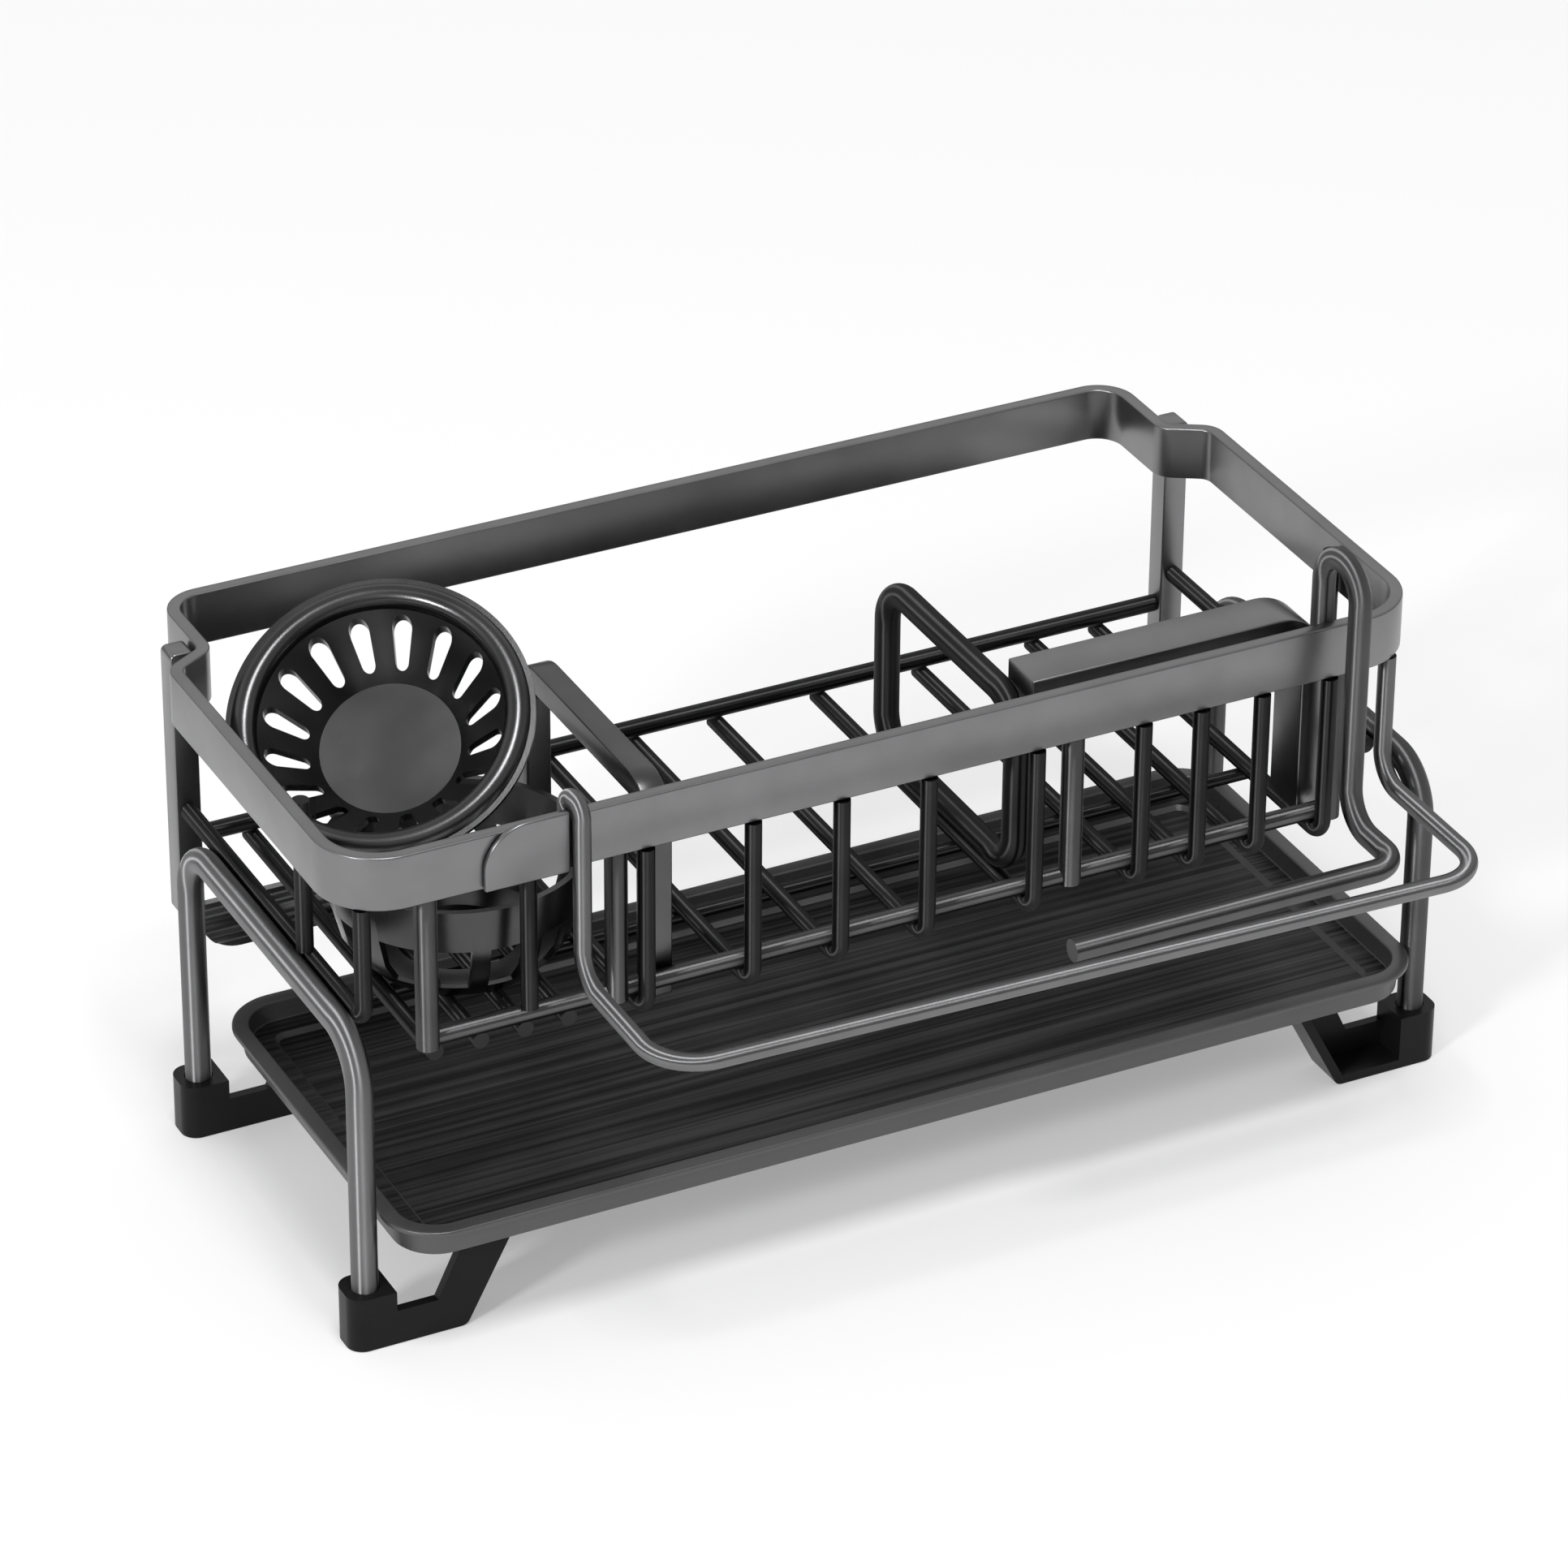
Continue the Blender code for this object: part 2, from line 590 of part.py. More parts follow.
def foot_mesh():
    """One moulded foot round its leg's axis, its arm along +X and its web towards -Y."""
    half = SOCKET_HALF
    prong_top = TRAY_UNDERSIDE - GAP
    lean = (PRONG_TOP_END - BASE_END) / prong_top
    corners = [(0, 0, 0), (BASE_END, 0, 0), (PRONG_TOP_END, prong_top, 0), (PRONG_TOP_START, prong_top, 0)]
    corners += [(LEDGE_END, LEDGE_HEIGHT, 0), (0, LEDGE_HEIGHT, 0)]
    outline = rounded_path(corners, [0, PRONG_CORNER, 0, 0, 0, 0], CORNER_STEPS, closed=True)
    foot = mesh_object("foot_arm", prism(outline, -half, half, on_xz), None, None)
    flange = PRONG_FLANGE * math.sqrt(1 + lean ** 2)
    over = prong_top + CUT_OVERRUN
    pocket_outline = [(half, BASE_PLATE), (BASE_END - flange + BASE_PLATE * lean, BASE_PLATE)]
    pocket_outline += [(BASE_END - flange + over * lean, over), (half, over)]
    pocket = prism(pocket_outline, WEB - half, half + CUT_OVERRUN, on_xz)
    cut(foot, mesh_object("foot_pocket", pocket, None, None))
    corners = [(-half, -half, 0), (half, -half, 0), (half, half, 0), (-half, half, 0)]
    outline = rounded_path(corners, [SOCKET_CORNER, 0, 0, SOCKET_CORNER], CORNER_STEPS, closed=True)
    cut(foot, mesh_object("foot_socket", prism(outline, 0, SOCKET_HEIGHT), None, None), "UNION")
    bore_top = (0, 0, SOCKET_HEIGHT + CUT_OVERRUN)
    bore = round_bar("foot_bore", (0, 0, SOCKET_FLOOR), bore_top, FRAME_TUBE + 2 * GAP, None, None)
    cut(foot, bore)
    return baked(foot, "foot")


def baked(thing, name):
    """The mesh of an object after its modifiers; the object and its helpers are removed."""
    helpers = [modifier.object for modifier in thing.modifiers]
    bpy.context.view_layer.update()
    graph = bpy.context.evaluated_depsgraph_get()
    mesh = bpy.data.meshes.new_from_object(thing.evaluated_get(graph))
    mesh.name = name
    for spent in [thing] + helpers:
        bpy.data.objects.remove(spent, do_unlink=True)
    return mesh


def make_feet(parent, finish):
    """Four copies of one moulding; the right pair is the left pair turned half round."""
    mesh = foot_mesh()
    mesh.shade_smooth()
    mesh.set_sharp_from_angle(angle=math.radians(35))
    mesh.materials.append(finish)
    for side, side_name in ((-1, "left"), (1, "right")):
        for y, end_name in ((FRONT_LEG_Y, "front"), (REAR_LEG_Y, "rear")):
            foot = place(bpy.data.objects.new(f"foot_{end_name}_{side_name}", mesh), parent, None)
            foot.location = (side * LEG_X, y, 0)
            foot.rotation_euler = (0, 0, math.pi if side > 0 else 0)


def tray_ring(builder, inset, height):
    """One level of the tray's outline, drawn in by inset."""
    half = LEG_X - FRAME_TUBE / 2 - TRAY_SIDE_ROOM - inset
    front = TRAY_FRONT + inset
    back = TRAY_FRONT + TRAY_DEPTH - inset
    corners = [(-half, front, 0), (half, front, 0), (half, back, 0), (-half, back, 0)]
    outline = rounded_path(corners, [TRAY_CORNER - inset] * len(corners), CORNER_STEPS, closed=True)
    return [builder.verts.new((point.x, point.y, height)) for point in outline]


def make_tray(parent, finish):
    """The shallow tray: rolled lip, wall, and a floor with one step inside."""
    builder = bmesh.new()
    lip_under = TRAY_TOP - TRAY_LIP_THICKNESS
    floor = TRAY_UNDERSIDE + TRAY_FLOOR
    inner = TRAY_LIP + TRAY_DRAFT
    levels = [(TRAY_WALL_INSET + TRAY_DRAFT, TRAY_UNDERSIDE), (TRAY_WALL_INSET, lip_under), (0, lip_under)]
    levels += [(0, TRAY_TOP), (TRAY_LIP, TRAY_TOP), (inner, floor + TRAY_STEP)]
    levels += [(inner + TRAY_STEP_WIDTH, floor + TRAY_STEP), (inner + TRAY_STEP_WIDTH + TRAY_STEP, floor)]
    rings = [tray_ring(builder, inset, height) for inset, height in levels]
    builder.faces.new(rings[0])
    builder.faces.new(rings[-1])
    for ring, after in zip(rings, rings[1:]):
        bridge(builder, ring, after)
    round_edges(mesh_object("drip_tray", builder, parent, finish))


def make_left_divider(parent, finish):
    """The divider bent from square bar: an inverted U across the basket."""
    half = LEFT_BAR / 2
    x = LEFT_DIVIDER_X
    front = BASKET_FRONT + half
    back = DIVIDER_BACK - half
    top = RIM_TOP - LEFT_TOP_DROP - half
    foot = CROSS_ROD_Z + CROSS_ROD / 2 + GAP
    corners = [(front, foot, 0), (front, top, 0), (back, top, 0), (back, foot, 0)]
    path = rounded_path(corners, [LEFT_BEND] * len(corners), CORNER_STEPS)
    outer, inner = offset_sides(path, LEFT_BAR, closed=False)
    bar = prism(outer + inner[::-1], x - half, x + half, on_yz)
    round_edges(mesh_object("divider_left", bar, parent, finish))


def make_right_divider(parent, finish):
    """The closed gate of round tube, and the flat strap along the front that turns down."""
    half = GATE_TUBE / 2
    x = GATE_SHARE * HALF_LENGTH
    front = BASKET_FRONT + half
    back = DIVIDER_BACK - half
    top = RIM_TOP - GATE_TOP_DROP - half
    low = STANDING_Z + half
    corners = [(x, front, low), (x, front, top), (x, back, top), (x, back, low)]
    tube("divider_right", corners, GATE_BEND, GATE_TUBE, parent, finish, closed=True)
    thick = STRAP_THICKNESS / 2
    start = x + half + GAP
    end = STRAP_END_SHARE * HALF_LENGTH - thick
    level = RIM_TOP - STRAP_TOP_DROP - thick
    corners = [(start, level, 0), (end, level, 0), (end, STANDING_Z, 0)]
    path = rounded_path(corners, [0, STRAP_BEND, 0], CORNER_STEPS)
    outer, inner = offset_sides(path, STRAP_THICKNESS, closed=False)
    near = BASKET_FRONT + STRAP_SETBACK
    strap = prism(outer + inner[::-1], near, near + STRAP_WIDTH, on_xz)
    round_edges(mesh_object("divider_right_band", strap, parent, finish))


def make_towel_bar(parent, finish):
    """One bent tube: hook over the rim, arm, bar, arm back and root under the rim's corner."""
    left = TOWEL_SHARE * HALF_LENGTH
    right = TOWEL_ROOT_SHARE * HALF_LENGTH
    inside = -(INNER_FACE - GAP - TOWEL_TUBE / 2)
    over = RIM_TOP + GAP + TOWEL_TUBE / 2
    root = rim_middle_y(right)
    bar_z = RIM_TOP - TOWEL_BAR_DROP
    low_z = bar_z - TOWEL_BAR_FALL
    corners = [(left, inside, RIM_TOP - TOWEL_TAIL), (left, inside, over), (left, TOWEL_HOOK_Y, over)]
    corners += [(left, TOWEL_HOOK_Y, bar_z), (left, TOWEL_BAR_Y, bar_z), (right, TOWEL_BAR_Y, low_z)]
    corners += [(right, root, low_z), (right, root, WELD_TOP)]
    arch = (inside - TOWEL_HOOK_Y) * TOWEL_ARCH_SHARE
    radii = [0, arch, arch, TOWEL_ELBOW, TOWEL_CORNER, TOWEL_CORNER, TOWEL_ELBOW, 0]
    tube("towel_bar", rounded_path(corners, radii, BEND_STEPS), 0, TOWEL_TUBE, parent, finish)
    end = left - TOWEL_TUBE / 2 - GAP
    start = end - CLIP_LENGTH
    plate = [(start, RIM_BOTTOM, 0), (end, RIM_BOTTOM, 0), (end, RIM_TOP + CLIP_RISE, 0)]
    plate.append((start, RIM_TOP + CLIP_RISE, 0))
    outline = rounded_path(plate, [0, 0, 0, CLIP_CORNER], CORNER_STEPS, closed=True)
    back = -(HALF_DEPTH + GAP)
    clip = mesh_object("towel_bar_clip", prism(outline, back - CLIP_THICKNESS, back, on_xz), parent, finish)
    round_edges(clip)


def make_hook_arm(parent, finish):
    """The thicker arm: high arch over the rim, down in front, forward, and back along the bar."""
    x = HOOK_SHARE * HALF_LENGTH
    inside = -(INNER_FACE - GAP - HOOK_ROD / 2)
    outside = inside - HOOK_SPAN
    top = RIM_TOP + HOOK_RISE + HOOK_ROD / 2
    low = RIM_TOP - HOOK_DROP
    reach = outside - HOOK_REACH
    corners = [(x, inside, RIM_TOP - HOOK_TAIL), (x, inside, top), (x, outside, top), (x, outside, low)]
    corners += [(x, reach, low), (HOOK_END_SHARE * HALF_LENGTH, reach, low)]
    arch = HOOK_SPAN * HOOK_ARCH_SHARE
    radii = [0, arch, arch, HOOK_ELBOW, HOOK_CORNER, 0]
    tube("hook_arm", rounded_path(corners, radii, BEND_STEPS), 0, HOOK_ROD, parent, finish)


def make_cup_basket(parent, finish):
    """The upright basket: a plain band, ribs that curve in, and a base ring."""
    height = CUP_TOP - STANDING_Z
    opening = CUP_OPENING_SHARE * CUP_RADIUS
    levels = [-share * height for share in CUP_LEVEL_SHARES]
    radii = [share * CUP_RADIUS for share in CUP_RADIUS_SHARES]
    outer = list(zip(radii, levels))
    inner = [(radius - CUP_WALL, level) for radius, level in outer[:-1]]
    base_top = CUP_BASE_HEIGHT - height
    base = [(opening, -height), (opening, base_top), (radii[-1] - CUP_WALL, base_top)]
    profile = outer + base + inner[::-1]
    basket = mesh_object("cup_basket", spin_profile(profile), parent, finish)
    builder = bmesh.new()
    reach = (opening, CUP_RADIUS + CUT_OVERRUN)
    pitch = math.pi / CUP_RIBS
    for index in range(CUP_RIBS):
        outlines = []
        for radius in reach:
            half = radius * math.tan(pitch) - CUP_RIB_WIDTH / 2
            low = CUP_BASE_HEIGHT + CUP_WALL - height
            window = [(-half, low, 0), (half, low, 0)]
            window += [(half, -CUP_BAND_HEIGHT, 0), (-half, -CUP_BAND_HEIGHT, 0)]
            outlines.append([Vector(corner) for corner in window])
        add_spoke(builder, outlines, reach, (index + 0.5) / CUP_RIBS)
    cut(basket, mesh_object("cup_windows", builder, parent, None))


def roll_point(degrees):
    """A point round the dish's rolled rim, counted from its outermost place over the top."""
    angle = math.radians(degrees)
    middle = DISH_ROLL_SHARE * CUP_RADIUS
    return (middle + DISH_ROLL * math.cos(angle), DISH_ROLL * math.sin(angle))


def dish_profile():
    """The dish's turned section: floor, cone, rolled rim and outer flange."""
    floor_radius = DISH_FLOOR_SHARE * CUP_RADIUS
    profile = [(0, -DISH_DEPTH), (floor_radius, -DISH_DEPTH)]
    profile += [roll_point(degrees) for degrees in (-120, -80, -45, -11)]
    profile += [(DISH_RADIUS, -DISH_FLANGE / 2), (DISH_RADIUS, DISH_FLANGE / 2)]
    profile += [roll_point(degrees) for degrees in (11, 40, 70, 100, 130, 160, 200)]
    profile += [(floor_radius - DISH_WALL, DISH_WALL - DISH_DEPTH), (0, DISH_WALL - DISH_DEPTH)]
    return profile


def make_cup_dish(parent, finish):
    """The leaning dish with its ring of slots, wider outwards, through the cone."""
    dish = mesh_object("cup_dish", spin_profile(dish_profile()), parent, finish)
    builder = bmesh.new()
    for index in range(DISH_SLOTS):
        turn = Matrix.Rotation(index / DISH_SLOTS * math.tau, 3, "Z")
        outline = []
        for reach_share, half_share, first in zip(SLOT_REACH_SHARES, SLOT_WIDTH_SHARES, (90, -90)):
            reach = reach_share * CUP_RADIUS
            half = half_share * CUP_RADIUS
            for step in range(CORNER_STEPS + 1):
                angle = math.radians(first + step * 180 / CORNER_STEPS)
                outline.append(turn @ Vector((reach + half * math.cos(angle), half * math.sin(angle), 0)))
        rings = []
        for height in (-DISH_DEPTH - CUT_OVERRUN, 0):
            rings.append([builder.verts.new((point.x, point.y, height)) for point in outline])
            builder.faces.new(rings[-1])
        bridge(builder, rings[0], rings[1])
    cut(dish, mesh_object("dish_slots", builder, parent, None))


def main():
    """Build every piece under one empty that stands at the counter."""
    clear_scene()
    steel = material("gunmetal_steel", (0.12, 0.12, 0.125), 0.32, 1.0)
    tray_steel = material("tray_steel", (0.07, 0.07, 0.072), 0.38, 1.0)
    plastic = material("foot_plastic", (0.03, 0.03, 0.032), 0.5, 0.0)
    cup_coat = material("cup_plastic", (0.06, 0.06, 0.062), 0.35, 0.0)
    organizer = group("organizer", None, (0, -OBJECT_MIDDLE_Y, 0))
    for maker in (make_rim, make_side_frames, make_side_rods, make_front_frame, make_floor, make_rear):
        maker(organizer, steel)
    make_towel_bar(organizer, steel)
    make_hook_arm(organizer, steel)
    make_feet(organizer, plastic)
    make_tray(group("tray_slide", organizer), tray_steel)
    make_left_divider(group("left_divider_lift", organizer), steel)
    make_right_divider(group("right_divider_lift", organizer), steel)
    lift = group("brush_cup_lift", organizer)
    make_cup_basket(group("cup_basket_place", lift, (CUP_X, CUP_Y, CUP_TOP)), cup_coat)
    dish = group("cup_dish_place", lift, (DISH_X, DISH_Y, RIM_TOP - DISH_DROP))
    dish.rotation_euler = Vector(DISH_LEAN).to_track_quat("Z", "Y").to_euler()
    make_cup_dish(dish, cup_coat)


main()
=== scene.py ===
"""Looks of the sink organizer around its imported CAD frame: finer pieces, coated metal, soft light."""
import json
import math

import bmesh
import bpy
from mathutils import Matrix, Vector

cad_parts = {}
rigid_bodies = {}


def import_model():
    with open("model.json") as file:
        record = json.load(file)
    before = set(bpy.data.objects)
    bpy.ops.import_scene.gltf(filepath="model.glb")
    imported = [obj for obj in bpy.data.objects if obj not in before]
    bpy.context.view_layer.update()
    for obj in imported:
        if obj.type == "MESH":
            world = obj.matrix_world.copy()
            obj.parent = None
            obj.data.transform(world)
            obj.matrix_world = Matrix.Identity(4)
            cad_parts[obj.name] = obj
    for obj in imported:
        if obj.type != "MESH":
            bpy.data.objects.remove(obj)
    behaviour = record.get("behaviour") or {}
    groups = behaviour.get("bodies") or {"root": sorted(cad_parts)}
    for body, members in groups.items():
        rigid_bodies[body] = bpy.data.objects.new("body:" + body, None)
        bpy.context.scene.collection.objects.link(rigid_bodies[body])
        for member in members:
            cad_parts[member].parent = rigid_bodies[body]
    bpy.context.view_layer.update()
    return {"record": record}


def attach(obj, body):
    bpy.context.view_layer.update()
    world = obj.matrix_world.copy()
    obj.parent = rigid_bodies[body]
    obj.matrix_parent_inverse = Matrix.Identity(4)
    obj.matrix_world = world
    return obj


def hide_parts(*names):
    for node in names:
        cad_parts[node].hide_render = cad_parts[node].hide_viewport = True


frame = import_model()

# Clearances and overruns
GAP = 0.0003
CUT_OVERRUN = 0.002
EDGE_ROUNDING = 0.0005

# Rim: one flat band, stepped in at its two back corners
RIM_LENGTH = 0.310
RIM_DEPTH = 0.149
RIM_TOP = 0.136
BAND_HEIGHT = 0.0153
BAND_THICKNESS = 0.0036
RIM_FRONT_RADIUS = 0.018
RIM_BACK_RADIUS = 0.011
STEP_INSET = 0.0116
STEP_FROM_BACK = 0.0365
STEP_RUN = 0.0068
STEP_OUTER_RADIUS = 0.007
STEP_INNER_RADIUS = 0.003

# Side frames and the rods beside their rails
FRAME_TUBE = 0.007
FRAME_BEND_RADIUS = 0.014
FRAME_RAIL_Z = 0.0875
LEG_INSET = 0.0015
FRONT_LEG_OVERHANG = 0.0045
REAR_LEG_ROOM = 0.0114
SIDE_ROD = 0.0046
SIDE_ROD_BEND = 0.005
RIGHT_ROD_SHARE = -0.805
SIDE_POST_SHARE = -0.47
SIDE_POST_TOP_DROP = 0.002

# Front frame, floor wires and cross rods
FRAME_ROD = 0.0048
FRAME_ROD_Z = 0.0775
FRONT_ROD_INSET = 0.006
FRONT_POST = 0.006
FRONT_POST_INSET = 0.005
POST_SINK_SHARE = 0.4
ROD_END_SHARE = 0.22
FRONT_POST_SHARES = (-0.842, -0.504, 0.339, 0.842)
FRONT_WIRE_SHARE = -0.663
FRONT_WIRE_INSET = 0.004
WIRE = 0.0045
WIRE_SHARES = (-0.461, -0.268, -0.106, 0.055, 0.257, 0.459, 0.569, 0.686, 0.816)
FLOOR_BAR_SHARES = (-0.826, -0.745, -0.665, -0.587)
CROSS_ROD = 0.0036
CROSS_ROD_SHARES = (-0.403, 0.161)
CROSS_ROD_END_SHARES = (-0.871, 0.852)

# Square rear posts in the rim's steps, and the pressed band between them
REAR_POST = 0.007
REAR_POST_FOOT = 0.056
REAR_POST_TOP_DROP = 0.0015
CROSS_BAND_FOOT = 0.0442
CROSS_BAND_HEIGHT = 0.015
CROSS_BAND_THICKNESS = 0.0022
CROSS_BAND_LAP = 0.0033
CROSS_BAND_CORNER = 0.012
BEAD_DEPTH = 0.0008
BEAD_WIDTH = 0.002
BEAD_SHARES = (0.27, 0.73)

# Feet: a socket, a base, a web on one side and a prong that carries the tray
SOCKET_HALF = 0.0062
SOCKET_HEIGHT = 0.0156
SOCKET_FLOOR = 0.0045
SOCKET_CORNER = 0.0045
WEB = 0.0025
BASE_PLATE = 0.0026
PRONG_FLANGE = 0.0026
LEDGE_HEIGHT = 0.0099
LEDGE_END = 0.0174
BASE_END = 0.0254
PRONG_TOP_START = 0.0258
PRONG_TOP_END = 0.0399
PRONG_CORNER = 0.0025

# Drip tray
TRAY_SIDE_ROOM = 0.001
TRAY_DEPTH = 0.124
TRAY_TOP = 0.0365
TRAY_UNDERSIDE = 0.028
TRAY_OVERHANG = 0.0205
TRAY_CORNER = 0.015
TRAY_LIP = 0.0045
TRAY_LIP_THICKNESS = 0.0016
TRAY_WALL_INSET = 0.0025
TRAY_FLOOR = 0.0018
TRAY_STEP = 0.0012
TRAY_STEP_WIDTH = 0.006
TRAY_DRAFT = 0.0006

# Dividers
LEFT_DIVIDER_SHARE = -0.413
LEFT_BAR = 0.007
LEFT_TOP_DROP = 0.004
LEFT_BEND = 0.0085
GATE_SHARE = 0.257
GATE_TUBE = 0.007
GATE_TOP_DROP = 0.0045
GATE_BEND = 0.011
DIVIDER_BACK_SHARE = 0.188
STRAP_THICKNESS = 0.0068
STRAP_WIDTH = 0.014
STRAP_SETBACK = 0.0023
STRAP_TOP_DROP = 0.0015
STRAP_END_SHARE = 0.845
STRAP_BEND = 0.011

# Towel bar, the plate beside its hook, and the hook arm
TOWEL_TUBE = 0.0048
TOWEL_SHARE = -0.587
TOWEL_TAIL = 0.013
TOWEL_ARCH_SHARE = 0.4
TOWEL_BAR_DROP = 0.047
TOWEL_BAR_FALL = 0.0055
TOWEL_REACH = 0.0478
TOWEL_ELBOW = 0.009
TOWEL_CORNER = 0.014
TOWEL_ROOT_SHARE = 0.943
CLIP_LENGTH = 0.0233
CLIP_THICKNESS = 0.0016
CLIP_RISE = 0.002
CLIP_CORNER = 0.012
HOOK_ROD = 0.0062
HOOK_SHARE = 0.819
HOOK_TAIL = 0.014
HOOK_SPAN = 0.0185
HOOK_ARCH_SHARE = 0.49
HOOK_RISE = 0.0172
HOOK_DROP = 0.052
HOOK_REACH = 0.026
HOOK_ELBOW = 0.010
HOOK_CORNER = 0.008
HOOK_END_SHARE = 0.194

# Brush cup: an upright ribbed basket with a leaning slotted dish on it, sized by its compartment
CUP_WIDTH_SHARE = 0.4112
CUP_FRONT_ROOM = 0.0028
CUP_SIDE_ROOM = 0.002
CUP_WALL = 0.0018
CUP_BAND_HEIGHT = 0.0122
CUP_LEVEL_SHARES = (0.0, 0.40, 0.68, 0.87, 1.0)
CUP_RADIUS_SHARES = (1.0, 0.965, 0.90, 0.79, 0.68)
CUP_OPENING_SHARE = 0.46
CUP_BASE_HEIGHT = 0.003
CUP_RIBS = 14
CUP_RIB_WIDTH = 0.005
DISH_LEAN = (-0.34, -0.46, 0.82)
DISH_SHARE = 1.159
DISH_ROLL_SHARE = 1.0232
DISH_FLOOR_SHARE = 0.58
DISH_DEPTH_SHARE = 0.536
DISH_BACK_SHARE = 0.71
DISH_DROP_SHARE = 0.116
DISH_SEAT_SHARE = 0.7362
DISH_SIDE_ROOM = 0.0005
DISH_ROLL = 0.0034
DISH_FLANGE = 0.0012
DISH_WALL = 0.0016
DISH_SLOTS = 16
SLOT_REACH_SHARES = (0.655, 0.829)
SLOT_WIDTH_SHARES = (0.052, 0.076)

# Angles round the dish's rolled rim in degrees, under it and over it
ROLL_UNDER = (-120, -80, -45, -11)
ROLL_OVER = (11, 40, 70, 100, 130, 160, 200)

# Names of the pieces before and after they are baked
PREFIX = "build_"
FINE_SUFFIX = "_fine"

# Finishes: darkest and lightest tone, share of metal, range of roughness, grain in cycles per metre.
# Some also have a stretch along the piece, a drawn direction, or other scales than the common ones below.
COOL_SHARE = 1.02
NO_STRETCH = (1, 1, 1)
FINE_BUMP = 0.08
BUMP_HEIGHT = 0.0002
TONE_SCALE = 60
TONE_SPREAD = (0.3, 0.7)
ROUGHNESS_SCALE = 35
ROUGHNESS_SPREAD = (0.3, 0.7)
NOISE_DETAIL = 3.0
PLAIN_GLOSS = 0.5
TUBE_LOOKS = {"metal": 1.0, "roughness": (0.48, 0.52), "grain": 2500, "bump": 0.02, "drawn": 1.0}
FINISHES = {
    "gunmetal_band": {"tones": (0.215, 0.245), "metal": 1.0, "roughness": (0.30, 0.38), "grain": 2500},
    "gunmetal_bar": {"tones": (0.10, 0.12), "metal": 1.0, "roughness": (0.28, 0.36), "grain": 2500},
    # The rod, tube and frame finishes are one drawn steel in three tones: painted shade on the wires and
    # rods, a mid tone, and painted light on the left frame and towel bar.
    "gunmetal_rod": {"tones": (0.05, 0.062), **TUBE_LOOKS},
    "gunmetal_tube": {"tones": (0.15, 0.18), **TUBE_LOOKS},
    "gunmetal_frame": {"tones": (0.25, 0.29), **TUBE_LOOKS},
    "tray_streaks": {"tones": (0.006, 0.055), "metal": 0.7, "roughness": (0.34, 0.48), "grain": 1100,
                     "stretch": (0.012, 1, 1), "bump": 0.3, "tone_scale": 650, "spread": (0.38, 0.62)},
    "foot_moulding": {"tones": (0.008, 0.011), "metal": 0.0, "roughness": (0.26, 0.36), "grain": 3500,
                      "gloss": 0.13},
    "cup_shell": {"tones": (0.075, 0.095), "metal": 1.0, "roughness": (0.22, 0.30), "grain": 2800},
}
# Painted light on the tray: the tone of its lip and upright walls, and the upward facings between which a
# face counts as upright
TRAY_PAINTED_LIGHT_TONE = 0.11
LEVEL_FACING = 0.9
UPRIGHT_FACING = 0.7

# Which finish a piece takes, by its material slot or by its own name
SLOT_FINISHES = {
    "gunmetal_steel": "gunmetal_rod",
    "tray_steel": "tray_streaks",
    "foot_plastic": "foot_moulding",
    "cup_plastic": "cup_shell",
}
PIECE_FINISHES = {
    "rim_band": "gunmetal_band",
    "towel_bar_clip": "gunmetal_band",
    "rear_cross_band": "gunmetal_band",
    "divider_right_band": "gunmetal_band",
    "rear_post_left": "gunmetal_band",
    "rear_post_right": "gunmetal_band",
    "divider_left": "gunmetal_bar",
    # The left and right side frames are one shape mirrored; the left takes the painted light tone and the
    # right, with the front frame and hook arm, the mid tone.
    "front_frame": "gunmetal_tube",
    "hook_arm": "gunmetal_tube",
    "side_frame_right": "gunmetal_tube",
    "side_frame_left": "gunmetal_frame",
    "towel_bar": "gunmetal_frame",
}

# Floor and room; the room's tones follow the direction, upwards and to the back
PAPER_TONE = 0.93
PAPER_ROUGHNESS = 0.9
PAPER_GLOW_SHARE = 0.3
FLOOR_REACH = 6.0
FLOOR_GAP = 0.0002
ROOM_RISING_TONES = ((0.0, 0.12), (0.2, 0.35), (0.45, 1.0), (0.75, 0.7), (1.0, 0.55))
ROOM_BACKWARD_TONES = ((0.0, 0.6), (0.5, 0.9))

# Lamps: place, size and power
LAMP_AIM = (0, 0, 0.05)
LAMPS = {"key": ((-0.2, -0.9, 3.6), 1.0, 67.0), "left": ((-3.0, -1.5, 1.7), 0.5, 58.0)}

# Camera: azimuth, elevation and roll in degrees, lens and sensor in millimetres
CAMERA_ANGLES = (-26.74, 30.44, 0.41)
CAMERA_LENS = 163.96
CAMERA_SENSOR = 36
CAMERA_REACH = 1.7865
CAMERA_AIM_X = -0.0383
CAMERA_AIM_Y = -0.084
CAMERA_CLIP_END = 50

# Roundness
TUBE_RESOLUTION = 14
WIRE_RESOLUTION = 10
BAR_SIDES = 2 * TUBE_RESOLUTION + 4
BEND_STEPS = 14
CORNER_STEPS = 14
TURNED_STEPS = 192
EDGE_SEGMENTS = 3
EDGE_ANGLE = 50
SMOOTH_ANGLE = 40

